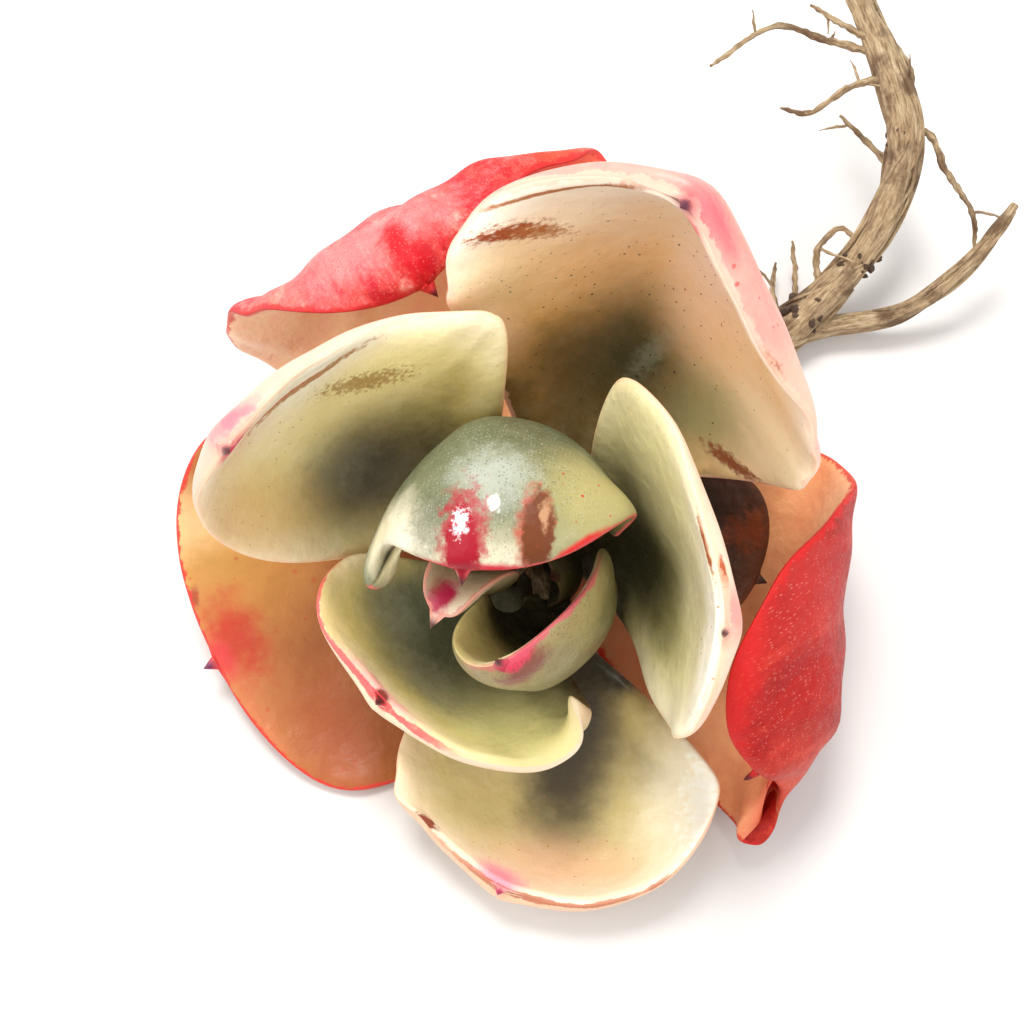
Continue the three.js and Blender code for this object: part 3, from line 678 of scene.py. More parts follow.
class RootMesh:
    """Gathers tubes and crumbs into one mesh."""

    def __init__(self):
        self.points = []
        self.faces = []
        self.grain = []
        self.kind = []

    def add(self, points, faces, grain, kind):
        start = sum(len(block) for block in self.points)
        self.points.append(points)
        self.grain.append(grain)
        self.kind.append(np.full(len(points), kind))
        self.faces.extend([number + start for number in face] for face in faces)

    def add_tube(self, line, radii, sides, relief=None, grain=0):
        """A closed tube along a line. relief(angle, along) gives its share of the radius."""
        along = lengths_along(line)
        angle, along_grid = np.meshgrid(np.arange(sides) / sides * 2 * math.pi, along)
        even_radius = np.broadcast_to(radii[:, None], angle.shape)
        radius = even_radius * relief(angle, along_grid) if relief else even_radius
        first, second = carried_frames(line)
        points = (line[:, None, :] + spread(first, radius * np.cos(angle))
                  + spread(second, radius * np.sin(angle)))
        pattern = np.stack([np.cos(angle) * even_radius + grain, np.sin(angle) * even_radius,
                            along_grid * GRAIN_ALONG], axis=-1)
        pattern_at_ends = np.array([[grain, 0, 0], [grain, 0, along[-1] * GRAIN_ALONG]])
        rings = closed_rings(np.arange(angle.size).reshape(angle.shape))
        faces = quads(rings) + fan(rings[0, ::-1], angle.size) + fan(rings[-1], angle.size + 1)
        self.add(np.vstack([points.reshape(-1, 3), line[[0, -1]]]), faces,
                 np.vstack([pattern.reshape(-1, 3), pattern_at_ends]), BARK)

    def add_crumb(self, middle, radius, draw):
        """A rough little lump."""
        stretch = draw.uniform(*CRUMB_STRETCH, 3)
        ring, side = np.mgrid[1:CRUMB_RINGS, 0:CRUMB_SIDES]
        polar = ring / CRUMB_RINGS * math.pi
        angle = (side + 0.5 * (ring % 2)) / CRUMB_SIDES * 2 * math.pi
        ball = [np.sin(polar) * np.cos(angle), np.sin(polar) * np.sin(angle), np.cos(polar)]
        points = np.vstack([[0, 0, 1], np.stack(ball, axis=-1).reshape(-1, 3), [0, 0, -1]])
        points = points * draw.uniform(*CRUMB_ROUGHNESS, (len(points), 1)) * stretch
        rings = closed_rings(1 + np.arange(ring.size).reshape(ring.shape))
        faces = quads(rings.T) + fan(rings[0], 0) + fan(rings[-1, ::-1], len(points) - 1)
        points = middle + points * radius
        self.add(points, faces, points, SOIL)

    def piece(self, name):
        return mesh_object(name, np.vstack(self.points) - [*MIDDLE_OF_BOX, 0], self.faces,
                           {"grain": np.vstack(self.grain), "kind": np.concatenate(self.kind)})


def bark_relief(seed, ridges, depth):
    """Twisted fibrous ridges, slow lumps and a slightly flattened section."""
    def relief(angle, along):
        around = (angle + along * BARK_TWIST + seed) / (2 * math.pi)

        def waves(count, waves_along, shift):
            return lattice_noise(around * count % count, along * waves_along, count, seed + shift)

        fibres = waves(ridges, GRAIN_ALONG, 0) + FINE_GRAIN * waves(ridges * 3, FINE_GRAIN_ALONG, 1)
        flat = FLATTENING * np.cos(2 * (angle + along * FLATTENING_TWIST))
        return 1 + depth * fibres + LUMPS * waves(3, LUMPS_ALONG, 2) + flat
    return relief


def add_strands(root, line, draw, strands):
    """Thin fibres that wind along a thick root and lie half sunk in it."""
    along = lengths_along(line[:, :3])
    first, second = carried_frames(line[:, :3])
    for index in range(strands):
        reach = draw.uniform(*STRAND_LENGTH)
        start = draw.uniform(0, along[-1] - reach)
        chosen = (along >= start) & (along <= start + reach)
        travelled = along[chosen] - start
        turn = draw.uniform(0, 2 * math.pi) + travelled * draw.uniform(*STRAND_WINDING)
        turn = turn + STRAND_SWAY * np.sin(travelled * draw.uniform(*STRAND_SWAYING))
        share = travelled / reach
        offset = line[chosen, 3] * (STRAND_SUNK_TO + STRAND_BULGE * np.sin(share * math.pi))
        strand = (line[chosen, :3] + first[chosen] * (offset * np.cos(turn))[:, None]
                  + second[chosen] * (offset * np.sin(turn))[:, None])
        radii = draw.uniform(*STRAND_RADIUS) * np.sin(np.clip(share, *STRAND_ENDS) * math.pi) ** STRAND_TAPER
        root.add_tube(strand, radii, STRAND_SIDES, grain=grain_shift(STRAND_GRAIN, index))


def add_rootlet(root, stops, draw, radii_at_ends, grain):
    """A thin root that wanders a little off the line through its stops. Gives the line it takes."""
    line = smooth_line(stops, ROOTLET_SPACING)
    share = np.linspace(0, 1, len(line))
    wander = np.cumsum(draw.normal(0, ROOTLET_WANDER, line.shape), axis=0)
    line = line + wander - share[:, None] * wander[-1]
    unevenness = ROOTLET_UNEVENNESS * draw.normal(0, 1, len(line)).clip(-1, 1)
    radii = mixed(*radii_at_ends, share) * (1 + unevenness)
    radii[-2:] *= ROOTLET_END_SHARE
    line[:, 2] = np.maximum(line[:, 2], radii)
    root.add_tube(line, radii, ROOTLET_SIDES, grain=grain)
    return line


def add_branch(root, parent, draw, grain):
    """A hair-thin root that leaves a rootlet in any direction."""
    at = parent[int(len(parent) * draw.uniform(*BRANCH_LEAVES_AT))]
    heading = unit(draw.normal(0, 1, 3))
    reach = draw.uniform(*BRANCH_LENGTH)
    bend = draw.normal(0, BRANCH_BENDING, 3)
    stops = np.array([at, at + heading * reach * 0.5 + bend, at + heading * reach + bend * 2])
    stops[:, 2] = np.maximum(stops[:, 2], BRANCH_LOWEST)
    add_rootlet(root, stops, draw, BRANCH_RADII, grain)


def add_leaf_stub(root, leaf, grain):
    """What a leaf is seated on: a stub from the crown's axis out to the leaf's base."""
    azimuth = math.radians(ROSETTE_LEAN_AZIMUTH)
    lean = math.radians(ROSETTE_LEAN)
    axis = np.array([math.sin(lean) * math.cos(azimuth), math.sin(lean) * math.sin(azimuth), math.cos(lean)])
    seat = lying(midrib_points(leaf, np.array([STUB_END])))[0] + [*MIDDLE_OF_BOX, 0]
    foot = np.array([0, 0, CROWN_HEIGHT]) + axis * (leaf["seat_height"] - STUB_FOOT_DEPTH)
    radii = np.linspace(STUB_FOOT_RADIUS, leaf["base_half_width"] * STUB_SHARE_OF_LEAF, STUB_RINGS)
    root.add_tube(np.linspace(foot, seat, STUB_RINGS), radii, STUB_SIDES, grain=grain)


def add_soil(root, line, draw, where, clump_spread, crumbs, largest):
    """Crumbs of soil that cling to a thick root near a place."""
    for _ in range(crumbs):
        from_place = np.linalg.norm(line[:, :3] - where, axis=1)
        nearest = line[np.argmin(from_place + draw.uniform(0, clump_spread, len(line)))]
        outward = unit(draw.normal(0, 1, 3))
        size = draw.uniform(SMALLEST_CRUMB, largest)
        middle = nearest[:3] + outward * (nearest[3] + CRUMB_RISE * size)
        middle[2] = max(middle[2], size * CRUMB_LOWEST)
        root.add_crumb(middle, size, draw)


def stem_and_roots_piece():
    """The stem with its roots, the stubs that hold the leaves, and the soil that still clings."""
    draw = np.random.default_rng(ROOT_SEED)
    root = RootMesh()
    main = smooth_line(STEM_AND_ROOT, ROOT_SPACING)
    side = smooth_line(SIDE_ROOT, ROOT_SPACING)
    root.add_tube(main[:, :3], main[:, 3], MAIN_ROOT_SIDES, bark_relief(*MAIN_BARK), MAIN_GRAIN)
    root.add_tube(side[:, :3], side[:, 3], SIDE_ROOT_SIDES, bark_relief(*SIDE_BARK), SIDE_GRAIN)
    add_strands(root, main[main[:, 1] > STRANDS_FROM_Y], draw, MAIN_STRANDS)
    add_strands(root, side, draw, SIDE_STRANDS)
    rootlets = []
    for index, stops in enumerate(ROOTLETS):
        rootlets.append(add_rootlet(root, stops, draw, ROOTLET_RADII, grain_shift(ROOTLET_GRAIN, index)))
    for index in range(BRANCHES):
        add_branch(root, rootlets[index % len(rootlets)], draw, grain_shift(BRANCH_GRAIN, index))
    for index, leaf in enumerate(LEAVES.values()):
        add_leaf_stub(root, leaf, grain_shift(STUB_GRAIN, index))
    for clump in SOIL_CLUMPS:
        add_soil(root, main, draw, *clump)
    return root.piece("look_stem_and_roots")


def colour(code):
    """A hex colour as linear red, green, blue and alpha."""
    values = [int(code[i:i + 2], 16) / 255 for i in (1, 3, 5)]
    linear = [v / 12.92 if v <= 0.04045 else ((v + 0.055) / 1.055) ** 2.4 for v in values]
    return (*linear, 1.0)


# The noise that makes the outlines of patches ragged.
OUTLINE_DETAIL = 4
OUTLINE_ROUGHNESS = 0.65
# A speck is from this share of its set size up to one and this share, and this much of it is solid.
SMALLEST_SPECK = 0.35
SPECK_CORE = 0.6
# A patch reaches so far through the leaf that only a point's place along and across counts.
FLAT = 1e6


class Paint:
    """Short names for building a node tree."""

    def __init__(self, tree):
        self.tree = tree
        self.noise_of_grain = {}

    def node(self, kind, sockets=None, **settings):
        """A new node with its settings, and its sockets fed with values or other nodes' outputs."""
        node = self.tree.nodes.new(kind)
        for label, value in settings.items():
            setattr(node, label, value)
        for key, value in (sockets or {}).items():
            self.feed(node.inputs[key], value)
        return node

    def feed(self, socket, value):
        if isinstance(value, bpy.types.NodeSocket):
            self.tree.links.new(value, socket)
        else:
            socket.default_value = value

    def math(self, operation, first, second, third=0, clamp=False):
        node = self.node("ShaderNodeMath", {0: first, 1: second, 2: third},
                         operation=operation, use_clamp=clamp)
        return node.outputs[0]

    def times(self, first, second):
        """One value or output by another."""
        return self.math("MULTIPLY", first, second)

    def one_less(self, value):
        """What is left of one."""
        return self.math("SUBTRACT", 1, value)

    def vector(self, operation, first, second=(0, 0, 0)):
        node = self.node("ShaderNodeVectorMath", {0: first, 1: second}, operation=operation)
        return node.outputs["Value" if operation == "LENGTH" else "Vector"]

    def mix(self, amount, first, second):
        return self.node("ShaderNodeMix", {0: amount, 6: first, 7: second}, data_type="RGBA",
                         clamp_factor=True).outputs[2]

    def noise(self, vector, scale, detail, roughness):
        return self.node("ShaderNodeTexNoise", {
            "Vector": vector, "Scale": scale, "Detail": detail, "Roughness": roughness}).outputs["Fac"]

    def shared_noise(self, place, grain):
        """The noise of ragged outlines, from -1 to 1, made once in a tree for each grain."""
        if grain not in self.noise_of_grain:
            noise = self.noise(place, grain, OUTLINE_DETAIL, OUTLINE_ROUGHNESS)
            self.noise_of_grain[grain] = self.math("MULTIPLY_ADD", noise, 2, -1)
        return self.noise_of_grain[grain]

    def fade(self, value, low, high, to_low=0, to_high=1):
        """From one number to another, smoothly, while the value goes from low to high."""
        return self.node("ShaderNodeMapRange", {0: value, 1: low, 2: high, 3: to_low, 4: to_high},
                         interpolation_type="SMOOTHSTEP").outputs[0]

    def ramp(self, value, stops):
        node = self.node("ShaderNodeValToRGB", {0: value})
        elements = node.color_ramp.elements
        while len(elements) < len(stops):
            elements.new(0.5)
        for element, (position, code) in zip(elements, stops):
            element.position = position
            element.color = colour(code)
        return node.outputs[0]

    def parts(self, vector):
        return self.node("ShaderNodeSeparateXYZ", {0: vector}).outputs

    def place_in_mm(self):
        place = self.node("ShaderNodeTexCoord").outputs["Object"]
        return self.vector("MULTIPLY", place, (1 / MM, 1 / MM, 1 / MM))

    def attribute(self, name, output="Vector"):
        return self.node("ShaderNodeAttribute", attribute_name=name).outputs[output]


def new_group(name, vectors, numbers):
    """An empty node group with the named inputs and one output."""
    tree = bpy.data.node_groups.new(name, "ShaderNodeTree")
    for label in vectors:
        tree.interface.new_socket(label, in_out="INPUT", socket_type="NodeSocketVector")
    for label in numbers:
        tree.interface.new_socket(label, in_out="INPUT", socket_type="NodeSocketFloat")
    tree.interface.new_socket("Amount", in_out="OUTPUT", socket_type="NodeSocketFloat")
    given = tree.nodes.new("NodeGroupInput").outputs
    result = tree.nodes.new("NodeGroupOutput").inputs[0]
    return tree, given, result


def make_patch_group():
    """A ragged soft-edged ellipse at a place on one face of a leaf."""
    tree, given, result = new_group(
        "ragged_patch", ["Place", "Middle", "Turn", "Radii"],
        ["Inside", "Outside", "Raggedness", "Noise", "On Face", "Strength"])
    paint = Paint(tree)
    from_middle = paint.node("ShaderNodeMapping", {
        "Vector": given["Place"], "Location": given["Middle"], "Rotation": given["Turn"],
        "Scale": given["Radii"]}, vector_type="TEXTURE").outputs[0]
    distance = paint.vector("LENGTH", from_middle)
    distance = paint.math("MULTIPLY_ADD", given["Noise"], given["Raggedness"], distance)
    amount = paint.fade(distance, given["Inside"], given["Outside"], given["Strength"], 0)
    paint.feed(result, paint.times(amount, given["On Face"]))
    return tree


def make_speck_group():
    """Scattered small dots of uneven size."""
    tree, given, result = new_group("specks", ["Vector"], ["Cell", "Size", "Share"])
    paint = Paint(tree)
    scale = paint.math("DIVIDE", 1, given["Cell"])
    cells = paint.node("ShaderNodeTexVoronoi", {"Vector": given["Vector"], "Scale": scale},
                       voronoi_dimensions="2D")
    chance = paint.node("ShaderNodeSeparateColor", {0: cells.outputs["Color"]}).outputs
    size = paint.times(given["Size"], paint.math("ADD", SMALLEST_SPECK, chance[1]))
    dot = paint.fade(cells.outputs["Distance"], paint.times(size, SPECK_CORE), size, 1, 0)
    paint.feed(result, paint.times(dot, paint.math("LESS_THAN", chance[0], given["Share"])))
    return tree


PATCH_GROUP = make_patch_group()
SPECK_GROUP = make_speck_group()


def new_material(name):
    """A material with its shader node."""
    material = bpy.data.materials.new(name)
    material.use_nodes = True
    return material, next(node for node in material.node_tree.nodes if node.type == "BSDF_PRINCIPLED")


# The noises of the leaf skin: how many waves a millimetre, the detail and the roughness.
SKIN_NOISE = {
    "unevenness": (0.16, 4, 0.6),
    "cloud": (0.45, 5, 0.65),
    "mottle": (0.32, 6, 0.72),
    "rim": (0.5, 4, 0.7),
    "gloss": (1.3, 4, 0.6),
    "pores": (5.5, 3, 0.6),
    "dents": (0.55, 3, 0.5),
    "folds": (0.2, 2, 0.5),
}
# Between which values each of them fades in. The point's are in millimetres, for a point of size 1.
SKIN_FADE = {
    "cloud": (0.35, 0.75),
    "gloss": (0.3, 0.8),
    "rim_width": (0.3, 0.75),
    "rim": (0.5, 1.2),
    "pale_edge": (0.15, 0.5),
    "back": (0.3, 0.9),
    "point": (0.4, 1.4),
}
COLOUR_DRIFT = 0.22
PALE_EDGE_STRENGTH = 0.85
MOTTLE_STRETCH = (1, 0.5, 1)
THINNEST_RIM = 0.05
POINT_STRETCH = 1.1
BLUSH_FADING = 1.5
BLUSH_UNEVENNESS = 3
BLUSH_STRENGTH = 0.85
POINT_STRENGTH = 0.95
GLOSS_VARIATION = 0.22
DRY_ROUGHNESS = 0.85


class LeafPaint(Paint):
    """The nodes of one leaf's skin, which all know where on the leaf a point lies."""

    def __init__(self, tree, leaf, look):
        super().__init__(tree)
        self.leaf = leaf
        self.look = look
        self.place = self.attribute("leaf_place")
        self.across, self.along, self.face = self.parts(self.place)
        self.from_margin = self.attribute("from_margin", "Fac")
        self.in_mm = self.place_in_mm()
        self.unevenness = self.skin_noise("unevenness")
        self.on_face = {INNER: self.one_less(self.face), OUTER: self.face}
        self.on_back = self.fade(self.face, *SKIN_FADE["back"])

    def skin_noise(self, name):
        """One of the noises in SKIN_NOISE."""
        return self.noise(self.in_mm, *SKIN_NOISE[name])

    def patch(self, face, at, radii, turn=0, soft=0.8, ragged=0.4, grain=0.35, strength=1):
        """How much a patch covers each point. soft is the share of its radius that its edge fades over."""
        return self.node("ShaderNodeGroup", {
            "Place": self.place, "Middle": (*at, 0), "Turn": (0, 0, math.radians(turn)),
            "Radii": (*radii, FLAT), "Inside": 1 - soft, "Outside": 1 + soft, "Raggedness": ragged,
            "Noise": self.shared_noise(self.place, grain), "On Face": self.on_face[face],
            "Strength": strength}, node_tree=PATCH_GROUP).outputs[0]

    def specks(self, cell, size, share):
        """Dots in cells of so many millimetres, of so many cells' size, in a share of the cells."""
        return self.node("ShaderNodeGroup", {
            "Vector": self.place, "Cell": cell, "Size": size, "Share": share},
            node_tree=SPECK_GROUP).outputs[0]

    def base_colours(self):
        """The colours from base to tip, which shift towards the tip's colour near a pale margin."""
        drift = self.times(self.math("SUBTRACT", self.unevenness, 0.5), COLOUR_DRIFT)
        share = self.math("DIVIDE", self.along, self.leaf["length"], clamp=True)
        share = self.math("ADD", share, drift)
        if "pale_edge" in self.look:
            towards_edge = self.fade(self.from_margin, 0, self.look["pale_edge"], PALE_EDGE_STRENGTH, 0)
            towards_edge = self.times(towards_edge, self.fade(share, *SKIN_FADE["pale_edge"]))
            share = self.one_less(self.times(self.one_less(share), self.one_less(towards_edge)))
        skin = self.mix(self.on_back, self.ramp(share, self.look["inner"]),
                        self.ramp(share, self.look["outer"]))
        cloud = self.fade(self.skin_noise("cloud"), *SKIN_FADE["cloud"], 0, self.look["clouding"])
        return self.mix(cloud, skin, colour(self.look["cloud"]))

    def with_mottling(self, skin):
        """Streaks on the back."""
        if not self.look["mottle"]:
            return skin
        streaked = self.vector("MULTIPLY", self.place, MOTTLE_STRETCH)
        mottling = self.noise(streaked, *SKIN_NOISE["mottle"])
        for code, start, full, strength in self.look["mottle"]:
            amount = self.times(self.on_back, self.fade(mottling, start, full, 0, strength))
            skin = self.mix(amount, skin, colour(code))
        return skin

    def with_patches(self, skin):
        """The skin with the leaf's patches, painted shade and painted highlights among them, and how dry they
        make it.
        """
        dryness = 0
        for patch in self.look["patches"]:
            amount = self.patch(**patch["shape"])
            if patch["specks"]:
                amount = self.times(amount, self.specks(*patch["specks"]))
            skin = self.mix(amount, skin, colour(patch["colour"]))
            if patch["dry"]:
                dryness = self.math("MAXIMUM", dryness, self.times(amount, patch["dry"]))
        return skin, dryness

    def with_rim(self, skin):
        """A thin coloured line along the margin, or along a stretch of it."""
        edge = self.look["rim"]
        reach = self.fade(self.skin_noise("rim"), *SKIN_FADE["rim_width"],
                          THINNEST_RIM, THINNEST_RIM + edge["width"] * 2)
        reached = self.math("DIVIDE", self.from_margin, reach)
        on_rim = self.fade(reached, *SKIN_FADE["rim"], edge["strength"], 0)
        if edge["where"]:
            stretch = [self.patch(face, **edge["where"]) for face in (INNER, OUTER)]
            on_rim = self.times(on_rim, self.math("ADD", *stretch, clamp=True))
        return self.mix(on_rim, skin, colour(edge["colour"]))

    def with_tip(self, skin):
        """A blush around the tip, and the small point's own colour."""
        to_point = self.math("SUBTRACT", self.leaf["length"] + self.leaf["mucro"], self.along)
        sideways = self.times(self.across, POINT_STRETCH)
        from_point = self.node("ShaderNodeCombineXYZ", {0: sideways, 1: to_point}).outputs[0]
        from_point = self.vector("LENGTH", from_point)
        code, reach = self.look["tip_blush"]
        blush_edge = self.math("MULTIPLY_ADD", self.unevenness, BLUSH_UNEVENNESS, from_point)
        blush = self.fade(blush_edge, 1, reach + BLUSH_FADING, BLUSH_STRENGTH, 0)
        skin = self.mix(blush, skin, colour(code))
        within, outside = (stop * self.look["point_size"] for stop in SKIN_FADE["point"])
        on_point = self.fade(from_point, within, outside, POINT_STRENGTH, 0)
        return self.mix(on_point, skin, colour(self.look["point"]))

    def roughness(self, dryness):
        """The skin's uneven gloss, duller where a patch is dry."""
        gloss = self.look["gloss"]
        roughness = self.fade(self.skin_noise("gloss"), *SKIN_FADE["gloss"], gloss, gloss + GLOSS_VARIATION)
        if dryness:
            roughness = self.math("MAXIMUM", roughness, self.times(dryness, DRY_ROUGHNESS))
        return roughness

    def relief(self):
        """How high the skin stands: fine pores, shallow dents and, on the back, folds."""
        height = 0
        for name in ("pores", "dents", "folds"):
            if self.look[name]:
                depth = self.times(self.skin_noise(name), self.look[name])
                if name == "folds":
                    depth = self.times(depth, self.on_back)
                height = self.math("ADD", height, depth)
        return height


def leaf_material(node):
    """Waxy leaf skin, from the leaf's own list of colours, patches and specks."""
    look = {**LOOK_DEFAULTS, **LOOKS[node]}
    material, shader = new_material("skin_" + node)
    paint = LeafPaint(material.node_tree, LEAVES[node], look)
    skin, dryness = paint.with_patches(paint.with_mottling(paint.base_colours()))
    paint.feed(shader.inputs["Base Color"], paint.with_tip(paint.with_rim(skin)))
    paint.feed(shader.inputs["Roughness"], paint.roughness(dryness))
    shader.inputs["Subsurface Weight"].default_value = look["translucency"]
    shader.inputs["Subsurface Radius"].default_value = (1.0, 0.55, 0.3)
    shader.inputs["Subsurface Scale"].default_value = 2.2 * MM
    shader.inputs["IOR"].default_value = 1.42
    shader.inputs["Specular IOR Level"].default_value = look["specular"]
    shader.inputs["Coat Weight"].default_value = look["coat"]
    shader.inputs["Coat Roughness"].default_value = 0.28
    bump = paint.node("ShaderNodeBump", {"Height": paint.relief(), "Strength": 0.55, "Distance": 0.8 * MM})
    paint.feed(shader.inputs["Normal"], bump.outputs[0])
    return material


# The noises of the bark, in the same way, its colours and its fades, with the values they fade between.
# The stem is painted near black as shade where the heart leaves hide it: above a height, and in front of a
# place.
BARK_NOISE = {
    "fibres": (2.6, 6, 0.7),
    "fine": (7.5, 4, 0.7),
    "stains": (0.17, 4, 0.65),
    "soil": (1.6, 4, 0.7),
}
BARK_COLOURS = [(0.28, "#644C34"), (0.42, "#957856"), (0.56, "#C0A680"), (0.72, "#DFCDAC")]
SOIL_COLOURS = [(0.3, "#3A2A1E"), (0.6, "#6C5440"), (0.8, "#988060")]
BARK_FADE = {
    "pale_fibres": (0.52, 0.72, 0, 0.55),
    "stains": (0.48, 0.62, 0, 0.75),
    "soil": (0.4, 0.6),
    "roughness": (0.3, 0.8, 0.72, 0.95),
}
PALE_FIBRE = "#E2D3B4"
STAIN = "#5E4028"
STEM_SHADE_IN_HEART = "#120E08"
FIBRE_HEIGHT = 0.6
FINE_HEIGHT = 0.3
HEART_SHADE_ABOVE = (16, 20)
HEART_SHADE_BEFORE = (8, 14)


def bark_material():
    """Dry fibrous root bark with soil in its creases, and painted shade on the stem inside the heart."""
    material, shader = new_material("root_bark")
    paint = Paint(material.node_tree)
    grain = paint.attribute("grain")
    in_mm = paint.place_in_mm()
    fibres = paint.noise(grain, *BARK_NOISE["fibres"])
    fine = paint.noise(grain, *BARK_NOISE["fine"])
    stains = paint.noise(in_mm, *BARK_NOISE["stains"])
    bark = paint.ramp(fibres, BARK_COLOURS)
    bark = paint.mix(paint.fade(fine, *BARK_FADE["pale_fibres"]), bark, colour(PALE_FIBRE))
    bark = paint.mix(paint.fade(stains, *BARK_FADE["stains"]), bark, colour(STAIN))
    soil = paint.ramp(paint.noise(in_mm, *BARK_NOISE["soil"]), SOIL_COLOURS)
    is_soil = paint.fade(paint.attribute("kind", "Fac"), *BARK_FADE["soil"])
    skin = paint.mix(is_soil, bark, soil)
    _, along_y, height_above = paint.parts(in_mm)
    painted_heart_shade = paint.times(paint.fade(height_above, *HEART_SHADE_ABOVE), paint.fade(along_y, *HEART_SHADE_BEFORE, 1, 0))
    # Painted shade: the stem turns near black where the heart leaves cover it.
    skin = paint.mix(painted_heart_shade, skin, colour(STEM_SHADE_IN_HEART))
    paint.feed(shader.inputs["Base Color"], skin)
    paint.feed(shader.inputs["Roughness"], paint.fade(fine, *BARK_FADE["roughness"]))
    relief = paint.math("ADD", paint.times(fibres, FIBRE_HEIGHT), paint.times(fine, FINE_HEIGHT))
    bump = paint.node("ShaderNodeBump", {"Height": relief, "Strength": 0.9, "Distance": 0.9 * MM})
    paint.feed(shader.inputs["Normal"], bump.outputs[0])
    return material


def spot(face, x, y, rx, ry, code, strength=1, dry=0, specks=None, **rest):
    """A patch of colour, at millimetres across and along from the leaf's base. dry dulls its gloss."""
    return {"shape": {"face": face, "at": (x, y), "radii": (rx, ry), "strength": strength, **rest},
            "colour": code, "dry": dry, "specks": specks}


def rim(code, width, strength, **where):
    """A colour along the margin, so many millimetres wide. where keeps it to one patch of the leaf."""
    return {"colour": code, "width": width, "strength": strength, "where": where}


# Specks as the size of a cell in millimetres, the size of a dot in cells and the share of cells with one.
FINE_SPECKS = (0.28, 0.3, 0.5)
SPARSE_SPECKS = (1.1, 0.1, 0.22)
RED_DOTS = (1.6, 0.12, 0.3)
GRANULES = (0.3, 0.26, 0.5)

# The look of each leaf. inner and outer are its colours from base to tip, on the face towards the heart
# and on its back. pale_edge is how many millimetres in from the margin they shift towards the tip's colour.
# cloud is a soft second colour, mottle lists streaks as colour, where they start, where they are full and
# how strong. tip_blush is a colour and how far it reaches from the point. pores, dents and folds are
# relief. Patches cover each other in the order of the list. The near-black base of an inner face and the dark
# patches in its hollows are partly the leaf's olive skin and partly painted shade; painted highlights are
# marked where they stand.
LOOK_DEFAULTS = {
    "cloud": "#F3E9C8",
    "clouding": 0.25,
    "mottle": [],
    "point": "#4A1E22",
    "point_size": 1,
    "gloss": 0.34,
    "specular": 0.5,
    "coat": 0.12,
    "translucency": 0.12,
    "pores": 0.05,
    "dents": 0.5,
    "folds": 0,
}
PALE = {"clouding": 0.1, "pale_edge": 8, "rim": rim("#EFC4A0", 0.35, 0.5)}
# The bud leaves deep in the heart are coloured near black: painted shade of the hollow they sit in, over
# their own olive.
BUD_IN_PAINTED_SHADE = {
    "inner": [(0, "#14110A"), (0.6, "#262212"), (1, "#4A4528")],
    "outer": [(0, "#14110A"), (0.6, "#2A2614"), (1, "#524A30")],
    "patches": [], "rim": rim("#5C4430", 0.2, 0.5), "cloud": "#48442C", "tip_blush": ("#6A4A38", 1),
}
